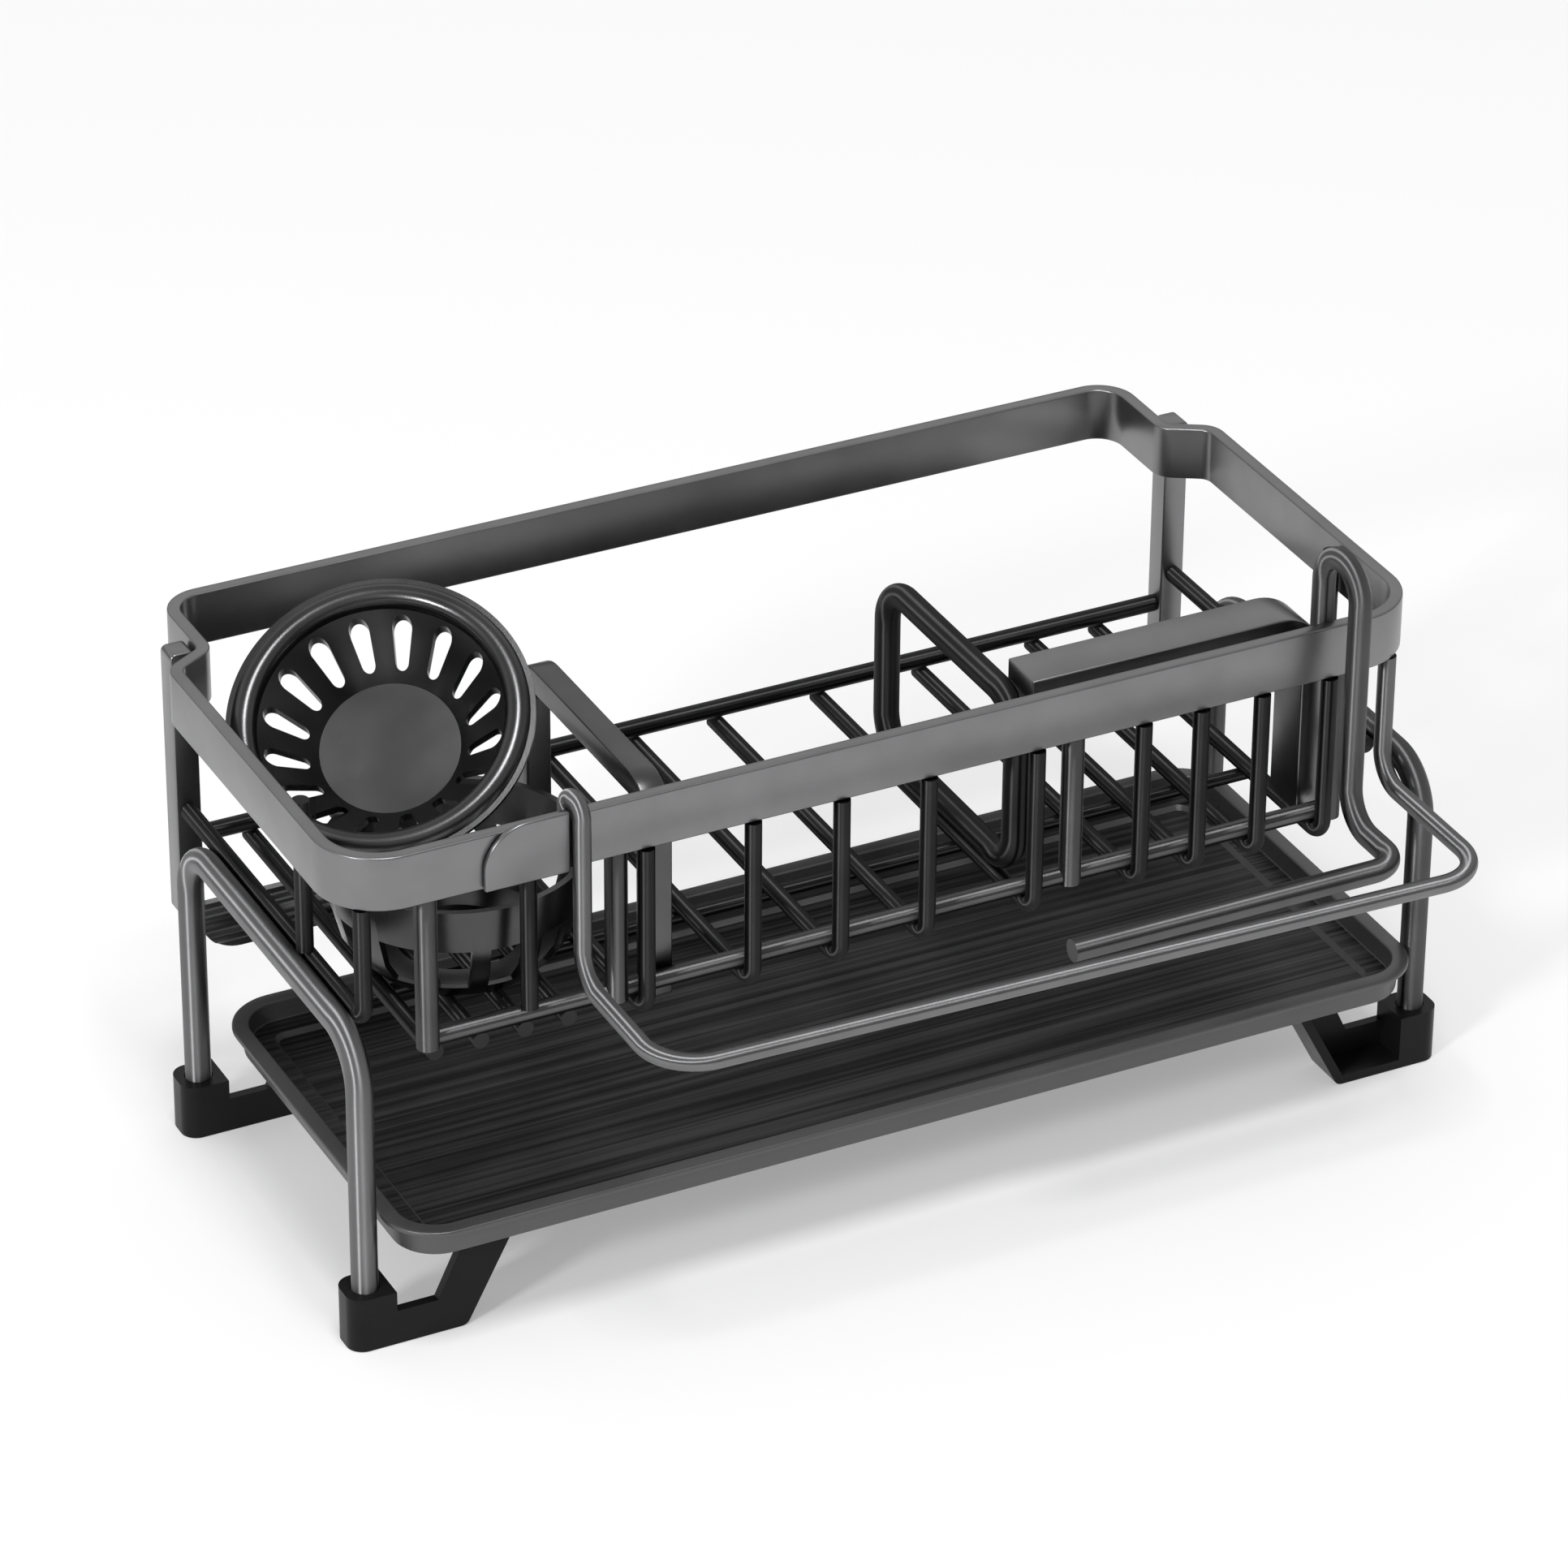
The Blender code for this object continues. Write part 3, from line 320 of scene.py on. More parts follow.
# Places worked out from the sizes above
HALF_LENGTH = RIM_LENGTH / 2
HALF_DEPTH = RIM_DEPTH / 2
RIM_BOTTOM = RIM_TOP - BAND_HEIGHT
WELD_TOP = RIM_BOTTOM - GAP
INNER_FACE = HALF_DEPTH - BAND_THICKNESS
INNER_SIDE = HALF_LENGTH - BAND_THICKNESS
STEP_SIDE = HALF_LENGTH - STEP_INSET
STEP_START = HALF_DEPTH - STEP_FROM_BACK
STEP_END = STEP_START + STEP_RUN
LEG_X = HALF_LENGTH - LEG_INSET
FRONT_LEG_Y = -(HALF_DEPTH + FRONT_LEG_OVERHANG)
SIDE_ROD_X = LEG_X - FRAME_TUBE / 2 - GAP - SIDE_ROD / 2
FRONT_ROD_Y = -(HALF_DEPTH - FRONT_ROD_INSET)
CURL_RADIUS = FRAME_ROD / 2 + GAP + WIRE / 2
FRONT_WIRE_Y = FRONT_ROD_Y - CURL_RADIUS
FLOOR_Z = FRAME_ROD_Z - CURL_RADIUS
STANDING_Z = FLOOR_Z + WIRE / 2 + GAP
CROSS_ROD_Z = FLOOR_Z - WIRE / 2 - GAP - CROSS_ROD / 2
REAR_POST_X = STEP_SIDE + GAP + REAR_POST / 2
REAR_POST_FRONT = STEP_END + 3 * GAP
REAR_LEG_Y = REAR_POST_FRONT - REAR_LEG_ROOM - FRAME_TUBE / 2
REAR_ROD_Y = REAR_POST_FRONT + REAR_POST / 2
BASKET_FRONT = FRONT_ROD_Y + FRAME_ROD / 2 + GAP
DIVIDER_BACK = DIVIDER_BACK_SHARE * HALF_DEPTH
TRAY_FRONT = -(HALF_DEPTH + TRAY_OVERHANG)
LEFT_DIVIDER_X = LEFT_DIVIDER_SHARE * HALF_LENGTH
CUP_RADIUS = (INNER_SIDE + LEFT_DIVIDER_X - LEFT_BAR / 2) * CUP_WIDTH_SHARE
CUP_X = LEFT_DIVIDER_X - LEFT_BAR / 2 - CUP_SIDE_ROOM - CUP_RADIUS
CUP_Y = BASKET_FRONT + CUP_FRONT_ROOM + CUP_RADIUS
DISH_RADIUS = DISH_SHARE * CUP_RADIUS
DISH_DEPTH = DISH_DEPTH_SHARE * CUP_RADIUS
DISH_X = DISH_SIDE_ROOM - INNER_SIDE + DISH_RADIUS * math.sqrt(1 - DISH_LEAN[0] ** 2)
DISH_Y = CUP_Y + DISH_BACK_SHARE * CUP_RADIUS
DISH_DROP = DISH_DROP_SHARE * CUP_RADIUS
CUP_TOP = RIM_TOP - DISH_DROP - DISH_SEAT_SHARE * CUP_RADIUS - 2 * GAP
TOWEL_HOOK_Y = -(HALF_DEPTH + GAP + TOWEL_TUBE / 2)
TOWEL_BAR_Y = TOWEL_HOOK_Y - TOWEL_REACH
OBJECT_FRONT = TOWEL_BAR_Y - TOWEL_TUBE / 2
OBJECT_MIDDLE_Y = (HALF_DEPTH + OBJECT_FRONT) / 2


def place(thing, parent):
    """Link an object to the scene, under its parent."""
    bpy.context.scene.collection.objects.link(thing)
    thing.parent = parent
    return thing


def group(name, parent, location):
    """An empty that carries pieces."""
    empty = place(bpy.data.objects.new(name, None), parent)
    empty.location = location
    return empty


def arc_between(before, corner, after, radius, steps):
    """Points of the round that replaces a corner, from one side to the other."""
    a = (before - corner).normalized()
    b = (after - corner).normalized()
    angle = a.angle(b)
    reach = radius / math.tan(angle / 2)
    centre = corner + (a + b).normalized() * (radius / math.sin(angle / 2))
    start = corner + a * reach - centre
    end = corner + b * reach - centre
    sweep = start.angle(end)
    points = []
    for step in range(steps + 1):
        share = step / steps
        weight_a = math.sin((1 - share) * sweep) / math.sin(sweep)
        weight_b = math.sin(share * sweep) / math.sin(sweep)
        points.append(centre + start * weight_a + end * weight_b)
    return points


def rounded_path(corners, radii, steps, closed=False):
    """A path through corners, each one rounded; a radius of zero keeps the corner."""
    corners = [Vector(corner) for corner in corners]
    count = len(corners)
    points = []
    for index, corner in enumerate(corners):
        end_point = not closed and index in (0, count - 1)
        if end_point or radii[index] == 0:
            points.append(corner)
            continue
        before = corners[index - 1]
        after = corners[(index + 1) % count]
        points += arc_between(before, corner, after, radii[index], steps)
    return points


def tube(name, corners, bend, diameter, parent, closed=False, resolution=TUBE_RESOLUTION):
    """A round bar bent along the corners, with closed ends unless it is a ring."""
    path = rounded_path(corners, [bend] * len(corners), BEND_STEPS, closed)
    curve = bpy.data.curves.new(name, "CURVE")
    curve.dimensions = "3D"
    spline = curve.splines.new("POLY")
    spline.points.add(len(path) - 1)
    for point, place_at in zip(spline.points, path):
        point.co = (*place_at, 1.0)
    spline.use_cyclic_u = closed
    curve.bevel_depth = diameter / 2
    curve.bevel_resolution = resolution
    curve.use_fill_caps = not closed
    spline.use_smooth = True
    return place(bpy.data.objects.new(PREFIX + name, curve), parent)


def mesh_object(name, mesh_builder, parent):
    """Turn a bmesh into an object with outward faces."""
    mesh = bpy.data.meshes.new(name)
    bmesh.ops.recalc_face_normals(mesh_builder, faces=mesh_builder.faces)
    mesh_builder.to_mesh(mesh)
    mesh_builder.free()
    return place(bpy.data.objects.new(PREFIX + name, mesh), parent)


def round_edges(thing):
    """Take the sharpness off an object's edges."""
    bevel = thing.modifiers.new("edges", "BEVEL")
    bevel.width = EDGE_ROUNDING
    bevel.segments = EDGE_SEGMENTS
    bevel.limit_method = "ANGLE"
    bevel.angle_limit = math.radians(EDGE_ANGLE)


def cut(thing, cutter, operation="DIFFERENCE"):
    """Combine an object with a helper shape."""
    boolean = thing.modifiers.new(operation.lower(), "BOOLEAN")
    boolean.operation = operation
    boolean.solver = "EXACT"
    boolean.object = cutter


def bridge(builder, ring_a, ring_b):
    """Quads between two closed rings of the same length."""
    count = len(ring_a)
    for index in range(count):
        after = (index + 1) % count
        builder.faces.new((ring_a[index], ring_a[after], ring_b[after], ring_b[index]))


def prism(outline, low, high, lift):
    """A bmesh of a flat outline pushed from low to high, on the plane that lift gives."""
    builder = bmesh.new()
    base = [builder.verts.new(lift(point[0], point[1], low)) for point in outline]
    top = [builder.verts.new(lift(point[0], point[1], high)) for point in outline]
    builder.faces.new(base)
    builder.faces.new(top)
    bridge(builder, base, top)
    return builder


def on_xy(u, v, w):
    """Outline across X and Y, pushed along Z."""
    return (u, v, w)


def on_xz(u, v, w):
    """Outline across X and Z, pushed along Y."""
    return (u, w, v)


def on_yz(u, v, w):
    """Outline across Y and Z, pushed along X."""
    return (w, u, v)


def offset_sides(path, thickness, closed):
    """The two sides of a strip that follows a path in the XY plane."""
    count = len(path)
    left, right = [], []
    for index, point in enumerate(path):
        before = path[index - 1] if closed or index > 0 else None
        after = path[(index + 1) % count] if closed or index < count - 1 else None
        along_in = (point - before).normalized() if before is not None else None
        along_out = (after - point).normalized() if after is not None else None
        along_in = along_in or along_out
        along_out = along_out or along_in
        across = Vector((-along_in.y - along_out.y, along_in.x + along_out.x, 0)).normalized()
        miter = across.dot(Vector((-along_in.y, along_in.x, 0)))
        shift = across * (thickness / 2 / miter)
        left.append(point + shift)
        right.append(point - shift)
    return left, right


def ring_strip(name, path, thickness, low, high, parent):
    """A flat band on edge that follows a closed path in the XY plane."""
    left, right = offset_sides(path, thickness, closed=True)
    builder = bmesh.new()
    rings = []
    for side, height in ((left, low), (right, low), (right, high), (left, high)):
        rings.append([builder.verts.new((point.x, point.y, height)) for point in side])
    for index, ring in enumerate(rings):
        bridge(builder, ring, rings[(index + 1) % len(rings)])
    return mesh_object(name, builder, parent)


def spin_profile(profile):
    """A turned solid from a closed profile of radius and height pairs; radius zero closes on the axis."""
    builder = bmesh.new()
    rings = []
    for radius, height in profile:
        if radius == 0:
            rings.append([builder.verts.new((0, 0, height))])
            continue
        ring = []
        for step in range(TURNED_STEPS):
            angle = step * math.tau / TURNED_STEPS
            ring.append(builder.verts.new((radius * math.cos(angle), radius * math.sin(angle), height)))
        rings.append(ring)
    for ring, after in zip(rings, rings[1:] + rings[:1]):
        if len(ring) == len(after) == 1:
            continue
        if len(ring) == 1 or len(after) == 1:
            fan = ring if len(ring) == 1 else after
            edge = after if len(ring) == 1 else ring
            for step in range(TURNED_STEPS):
                builder.faces.new((edge[step], edge[(step + 1) % TURNED_STEPS], fan[0]))
            continue
        bridge(builder, ring, after)
    return builder


def add_spoke(builder, outlines, reach, turn):
    """A bar that runs outward from the axis, between an inner and an outer outline."""
    rotation = Matrix.Rotation(turn * math.tau, 3, "Z")
    rings = []
    for outline, radius in zip(outlines, reach):
        ring = [builder.verts.new(rotation @ Vector((radius, point.x, point.y))) for point in outline]
        builder.faces.new(ring)
        rings.append(ring)
    bridge(builder, rings[0], rings[1])


def flipped(points):
    """The same XY points mirrored to the other side and run the other way."""
    return [(-point[0], point[1], 0) for point in reversed(points)]


def make_rim(parent):
    """The closed band round the top, with a step at each back corner."""
    right = [(HALF_LENGTH, -HALF_DEPTH, 0), (HALF_LENGTH, STEP_START, 0)]
    right += [(STEP_SIDE, STEP_END, 0), (STEP_SIDE, HALF_DEPTH, 0)]
    outer = [Vector(corner) for corner in right + flipped(right)]
    middle, _ = offset_sides(outer, BAND_THICKNESS, closed=True)
    half = BAND_THICKNESS / 2
    radii = [RIM_FRONT_RADIUS - half, STEP_OUTER_RADIUS - half]
    radii += [STEP_INNER_RADIUS + half, RIM_BACK_RADIUS - half]
    path = rounded_path(middle, radii + radii[::-1], CORNER_STEPS, closed=True)
    round_edges(ring_strip("rim_band", path, BAND_THICKNESS, RIM_BOTTOM, RIM_TOP, parent))


def rim_middle_y(x):
    """Where the rim's middle line lies in front at a place across its length."""
    radius = RIM_FRONT_RADIUS - BAND_THICKNESS / 2
    into_corner = max(0, abs(x) - (HALF_LENGTH - RIM_FRONT_RADIUS))
    return -(HALF_DEPTH - RIM_FRONT_RADIUS + math.sqrt(radius ** 2 - into_corner ** 2))


def make_side_frames(parent):
    """The inverted-U tubes whose legs stand in the feet."""
    tip = SOCKET_FLOOR + GAP
    for side, name in ((-1, "side_frame_left"), (1, "side_frame_right")):
        x = side * LEG_X
        corners = [(x, FRONT_LEG_Y, tip), (x, FRONT_LEG_Y, FRAME_RAIL_Z)]
        corners += [(x, REAR_LEG_Y, FRAME_RAIL_Z), (x, REAR_LEG_Y, tip)]
        tube(name, corners, FRAME_BEND_RADIUS, FRAME_TUBE, parent)


def make_side_rods(parent):
    """The rods beside the rails; the left one rises at the front to the rim."""
    back = REAR_POST_FRONT - GAP
    front = rim_middle_y(SIDE_ROD_X)
    left = [(-SIDE_ROD_X, back, FRAME_RAIL_Z), (-SIDE_ROD_X, front, FRAME_RAIL_Z)]
    left.append((-SIDE_ROD_X, front, WELD_TOP))
    tube("side_rod_left", left, SIDE_ROD_BEND, SIDE_ROD, parent, resolution=WIRE_RESOLUTION)
    right = [(SIDE_ROD_X, back, FRAME_RAIL_Z), (SIDE_ROD_X, RIGHT_ROD_SHARE * HALF_DEPTH, FRAME_RAIL_Z)]
    tube("side_rod_right", right, 0, SIDE_ROD, parent, resolution=WIRE_RESOLUTION)
    post_x = INNER_SIDE - GAP - SIDE_ROD / 2
    y = SIDE_POST_SHARE * HALF_DEPTH
    foot = FRAME_RAIL_Z + SIDE_ROD / 2 + GAP
    for side, name in ((-1, "side_post_left"), (1, "side_post_right")):
        corners = [(side * post_x, y, foot), (side * post_x, y, RIM_TOP - SIDE_POST_TOP_DROP)]
        tube(name, corners, 0, SIDE_ROD, parent, resolution=WIRE_RESOLUTION)


def make_front_frame(parent):
    """The low front rod and its thick posts, welded into one piece."""
    reach = FRONT_POST_SHARES[-1] * HALF_LENGTH + FRONT_POST * ROD_END_SHARE
    ends = [(-reach, FRONT_ROD_Y, FRAME_ROD_Z), (reach, FRONT_ROD_Y, FRAME_ROD_Z)]
    rod = round_bar("front_frame", *ends, FRAME_ROD, parent)
    y = -(HALF_DEPTH - FRONT_POST_INSET)
    low = FRAME_ROD_Z - FRAME_ROD * POST_SINK_SHARE
    for share in FRONT_POST_SHARES:
        x = share * HALF_LENGTH
        post = round_bar("front_frame_post", (x, y, low), (x, y, WELD_TOP), FRONT_POST, parent)
        cut(rod, post, "UNION")


def round_bar(name, start, end, diameter, parent):
    """A straight round bar as a mesh, for joining to others, with its texture's U along it."""
    start, end = Vector(start), Vector(end)
    turn = (end - start).to_track_quat("Z", "Y").to_matrix().to_4x4()
    place_at = Matrix.Translation((start + end) / 2) @ turn
    builder = bmesh.new()
    bmesh.ops.create_cone(builder, cap_ends=True, segments=BAR_SIDES, radius1=diameter / 2,
                          radius2=diameter / 2, depth=(end - start).length, matrix=place_at)
    along = (end - start).normalized()
    across = along.orthogonal()
    layer = builder.loops.layers.uv.new("UVMap")
    for face in builder.faces:
        side = along.cross(face.calc_center_median() - (start + end) / 2)
        side = side.normalized() if side.length > diameter / 4 else across
        for loop in face.loops:
            offset = loop.vert.co - start
            loop[layer].uv = (offset.dot(along), offset.dot(side))
    return mesh_object(name, builder, parent)


def make_floor(parent):
    """Curled wires, straight bars, the short front wire and the rods under them."""
    back = REAR_ROD_Y + FRAME_ROD / 2
    for number, share in enumerate(WIRE_SHARES, 1):
        x = share * HALF_LENGTH
        corners = [(x, FRONT_WIRE_Y, WELD_TOP), (x, FRONT_WIRE_Y, FLOOR_Z), (x, back, FLOOR_Z)]
        name = f"floor_wire_{number}"
        tube(name, corners, CURL_RADIUS, WIRE, parent, resolution=WIRE_RESOLUTION)
    for number, share in enumerate(FLOOR_BAR_SHARES, 1):
        x = share * HALF_LENGTH
        corners = [(x, FRONT_ROD_Y, FLOOR_Z), (x, back, FLOOR_Z)]
        tube(f"floor_bar_{number}", corners, 0, WIRE, parent, resolution=WIRE_RESOLUTION)
    x = FRONT_WIRE_SHARE * HALF_LENGTH
    y = -(HALF_DEPTH - FRONT_WIRE_INSET)
    corners = [(x, y, FRAME_ROD_Z + FRAME_ROD / 2 + GAP), (x, y, WELD_TOP)]
    tube("front_wire_left", corners, 0, WIRE, parent, resolution=WIRE_RESOLUTION)
    left, right = [share * HALF_LENGTH for share in CROSS_ROD_END_SHARES]
    for share, name in zip(CROSS_ROD_SHARES, ("cross_rod_front", "cross_rod_back")):
        y = share * HALF_DEPTH
        corners = [(left, y, CROSS_ROD_Z), (right, y, CROSS_ROD_Z)]
        tube(name, corners, 0, CROSS_ROD, parent, resolution=WIRE_RESOLUTION)


def make_rear(parent):
    """Square posts in the rim's steps, the low rod and the pressed band between them."""
    half = REAR_POST / 2
    top = RIM_TOP - REAR_POST_TOP_DROP
    for side, name in ((-1, "rear_post_left"), (1, "rear_post_right")):
        x = side * REAR_POST_X
        corners = [(x - half, REAR_POST_FOOT, 0), (x + half, REAR_POST_FOOT, 0)]
        corners += [(x + half, top, 0), (x - half, top, 0)]
        outline = rounded_path(corners, [0, 0, half / 2, half / 2], CORNER_STEPS, closed=True)
        solid = prism(outline, REAR_POST_FRONT, REAR_POST_FRONT + REAR_POST, on_xz)
        round_edges(mesh_object(name, solid, parent))
    corners = [(-STEP_SIDE, REAR_ROD_Y, FRAME_ROD_Z), (STEP_SIDE, REAR_ROD_Y, FRAME_ROD_Z)]
    tube("rear_rod", corners, 0, FRAME_ROD, parent)
    make_cross_band(parent)


def make_cross_band(parent):
    """The pressed band: flat back, two beads in front, round lower corners."""
    back = REAR_POST_FRONT - GAP
    front = back - CROSS_BAND_THICKNESS
    top = CROSS_BAND_FOOT + CROSS_BAND_HEIGHT
    section = [(back, CROSS_BAND_FOOT), (back, top), (front, top)]
    for share in reversed(BEAD_SHARES):
        middle = CROSS_BAND_FOOT + share * CROSS_BAND_HEIGHT
        section += [(front, middle + BEAD_WIDTH), (front - BEAD_DEPTH, middle + BEAD_WIDTH / 2)]
        section += [(front - BEAD_DEPTH, middle - BEAD_WIDTH / 2), (front, middle - BEAD_WIDTH)]
    section.append((front, CROSS_BAND_FOOT))
    reach = STEP_SIDE + CROSS_BAND_LAP
    band = mesh_object("rear_cross_band", prism(section, -reach, reach, on_yz), parent)
    over = top + CUT_OVERRUN
    wide = reach + CUT_OVERRUN
    corners = [(-reach, CROSS_BAND_FOOT, 0), (reach, CROSS_BAND_FOOT, 0), (reach, top, 0), (wide, top, 0)]
    corners += [(wide, over, 0), (-wide, over, 0), (-wide, top, 0), (-reach, top, 0)]
    radii = [CROSS_BAND_CORNER] * 2 + [0] * 6
    outline = rounded_path(corners, radii, CORNER_STEPS, closed=True)
    envelope = prism(outline, front - BEAD_DEPTH - CUT_OVERRUN, back + CUT_OVERRUN, on_xz)
    cut(band, mesh_object("cross_band_outline", envelope, parent), "INTERSECT")


def foot_mesh():
    """One moulded foot round its leg's axis, its arm along +X and its web towards -Y."""
    half = SOCKET_HALF
    prong_top = TRAY_UNDERSIDE - GAP
    lean = (PRONG_TOP_END - BASE_END) / prong_top
    corners = [(0, 0, 0), (BASE_END, 0, 0), (PRONG_TOP_END, prong_top, 0), (PRONG_TOP_START, prong_top, 0)]
    corners += [(LEDGE_END, LEDGE_HEIGHT, 0), (0, LEDGE_HEIGHT, 0)]
    outline = rounded_path(corners, [0, PRONG_CORNER, 0, 0, 0, 0], CORNER_STEPS, closed=True)
    foot = mesh_object("foot_arm", prism(outline, -half, half, on_xz), None)
    flange = PRONG_FLANGE * math.sqrt(1 + lean ** 2)
    over = prong_top + CUT_OVERRUN
    pocket_outline = [(half, BASE_PLATE), (BASE_END - flange + BASE_PLATE * lean, BASE_PLATE)]
    pocket_outline += [(BASE_END - flange + over * lean, over), (half, over)]
    pocket = prism(pocket_outline, WEB - half, half + CUT_OVERRUN, on_xz)
    cut(foot, mesh_object("foot_pocket", pocket, None))
    corners = [(-half, -half, 0), (half, -half, 0), (half, half, 0), (-half, half, 0)]
    outline = rounded_path(corners, [SOCKET_CORNER, 0, 0, SOCKET_CORNER], CORNER_STEPS, closed=True)
    cut(foot, mesh_object("foot_socket", prism(outline, 0, SOCKET_HEIGHT, on_xy), None), "UNION")
    bore_top = (0, 0, SOCKET_HEIGHT + CUT_OVERRUN)
    bore = round_bar("foot_bore", (0, 0, SOCKET_FLOOR), bore_top, FRAME_TUBE + 2 * GAP, None)
    cut(foot, bore)
    return evaluated_mesh(foot)


def evaluated_mesh(thing):
    """The mesh of an object after its modifiers."""
    bpy.context.view_layer.update()
    graph = bpy.context.evaluated_depsgraph_get()
    return bpy.data.meshes.new_from_object(thing.evaluated_get(graph), depsgraph=graph)


def make_feet(parent):
    """Four copies of one moulding; the right pair is the left pair turned half round."""
    mesh = foot_mesh()
    for side, side_name in ((-1, "left"), (1, "right")):
        for y, end_name in ((FRONT_LEG_Y, "front"), (REAR_LEG_Y, "rear")):
            foot = place(bpy.data.objects.new(f"{PREFIX}foot_{end_name}_{side_name}", mesh), parent)
            foot.location = (side * LEG_X, y, 0)
            foot.rotation_euler = (0, 0, math.pi if side > 0 else 0)


def tray_ring(builder, inset, height):
    """One level of the tray's outline, drawn in by inset."""
    half = LEG_X - FRAME_TUBE / 2 - TRAY_SIDE_ROOM - inset
    front = TRAY_FRONT + inset
    back = TRAY_FRONT + TRAY_DEPTH - inset
    corners = [(-half, front, 0), (half, front, 0), (half, back, 0), (-half, back, 0)]
    outline = rounded_path(corners, [TRAY_CORNER - inset] * len(corners), CORNER_STEPS, closed=True)
    return [builder.verts.new((point.x, point.y, height)) for point in outline]


def make_tray(parent):
    """The shallow tray: rolled lip, wall, and a floor with one step inside."""
    builder = bmesh.new()
    lip_under = TRAY_TOP - TRAY_LIP_THICKNESS
    floor = TRAY_UNDERSIDE + TRAY_FLOOR
    inner = TRAY_LIP + TRAY_DRAFT
    levels = [(TRAY_WALL_INSET + TRAY_DRAFT, TRAY_UNDERSIDE), (TRAY_WALL_INSET, lip_under), (0, lip_under)]
    levels += [(0, TRAY_TOP), (TRAY_LIP, TRAY_TOP), (inner, floor + TRAY_STEP)]
    levels += [(inner + TRAY_STEP_WIDTH, floor + TRAY_STEP), (inner + TRAY_STEP_WIDTH + TRAY_STEP, floor)]
    rings = [tray_ring(builder, inset, height) for inset, height in levels]
    builder.faces.new(rings[0])
    builder.faces.new(rings[-1])
    for ring, after in zip(rings, rings[1:]):
        bridge(builder, ring, after)
    round_edges(mesh_object("drip_tray", builder, parent))


def make_left_divider(parent):
    """The divider bent from square bar: an inverted U across the basket."""
    half = LEFT_BAR / 2
    x = LEFT_DIVIDER_X
    front = BASKET_FRONT + half
    back = DIVIDER_BACK - half
    top = RIM_TOP - LEFT_TOP_DROP - half
    foot = CROSS_ROD_Z + CROSS_ROD / 2 + GAP
    corners = [(front, foot, 0), (front, top, 0), (back, top, 0), (back, foot, 0)]
    path = rounded_path(corners, [LEFT_BEND] * len(corners), CORNER_STEPS)
    outer, inner = offset_sides(path, LEFT_BAR, closed=False)
    bar = prism(outer + inner[::-1], x - half, x + half, on_yz)
    round_edges(mesh_object("divider_left", bar, parent))


def make_right_divider(parent):
    """The closed gate of round tube, and the flat strap along the front that turns down."""
    half = GATE_TUBE / 2
    x = GATE_SHARE * HALF_LENGTH
    front = BASKET_FRONT + half
    back = DIVIDER_BACK - half
    top = RIM_TOP - GATE_TOP_DROP - half
    low = STANDING_Z + half
    corners = [(x, front, low), (x, front, top), (x, back, top), (x, back, low)]
    tube("divider_right", corners, GATE_BEND, GATE_TUBE, parent, closed=True)
    thick = STRAP_THICKNESS / 2
    start = x + half + GAP
    end = STRAP_END_SHARE * HALF_LENGTH - thick
    level = RIM_TOP - STRAP_TOP_DROP - thick
    corners = [(start, level, 0), (end, level, 0), (end, STANDING_Z, 0)]
    path = rounded_path(corners, [0, STRAP_BEND, 0], CORNER_STEPS)
    outer, inner = offset_sides(path, STRAP_THICKNESS, closed=False)
    near = BASKET_FRONT + STRAP_SETBACK
    strap = prism(outer + inner[::-1], near, near + STRAP_WIDTH, on_xz)
    round_edges(mesh_object("divider_right_band", strap, parent))


def make_towel_bar(parent):
    """One bent tube: hook over the rim, arm, bar, arm back and root under the rim's corner."""
    left = TOWEL_SHARE * HALF_LENGTH
    right = TOWEL_ROOT_SHARE * HALF_LENGTH
    inside = -(INNER_FACE - GAP - TOWEL_TUBE / 2)
    over = RIM_TOP + GAP + TOWEL_TUBE / 2
    root = rim_middle_y(right)
    bar_z = RIM_TOP - TOWEL_BAR_DROP
    low_z = bar_z - TOWEL_BAR_FALL
    corners = [(left, inside, RIM_TOP - TOWEL_TAIL), (left, inside, over), (left, TOWEL_HOOK_Y, over)]
    corners += [(left, TOWEL_HOOK_Y, bar_z), (left, TOWEL_BAR_Y, bar_z), (right, TOWEL_BAR_Y, low_z)]
    corners += [(right, root, low_z), (right, root, WELD_TOP)]
    arch = (inside - TOWEL_HOOK_Y) * TOWEL_ARCH_SHARE
    radii = [0, arch, arch, TOWEL_ELBOW, TOWEL_CORNER, TOWEL_CORNER, TOWEL_ELBOW, 0]
    tube("towel_bar", rounded_path(corners, radii, BEND_STEPS), 0, TOWEL_TUBE, parent)
    end = left - TOWEL_TUBE / 2 - GAP
    start = end - CLIP_LENGTH
    plate = [(start, RIM_BOTTOM, 0), (end, RIM_BOTTOM, 0), (end, RIM_TOP + CLIP_RISE, 0)]
    plate.append((start, RIM_TOP + CLIP_RISE, 0))
    outline = rounded_path(plate, [0, 0, 0, CLIP_CORNER], CORNER_STEPS, closed=True)
    back = -(HALF_DEPTH + GAP)
    clip = mesh_object("towel_bar_clip", prism(outline, back - CLIP_THICKNESS, back, on_xz), parent)
    round_edges(clip)


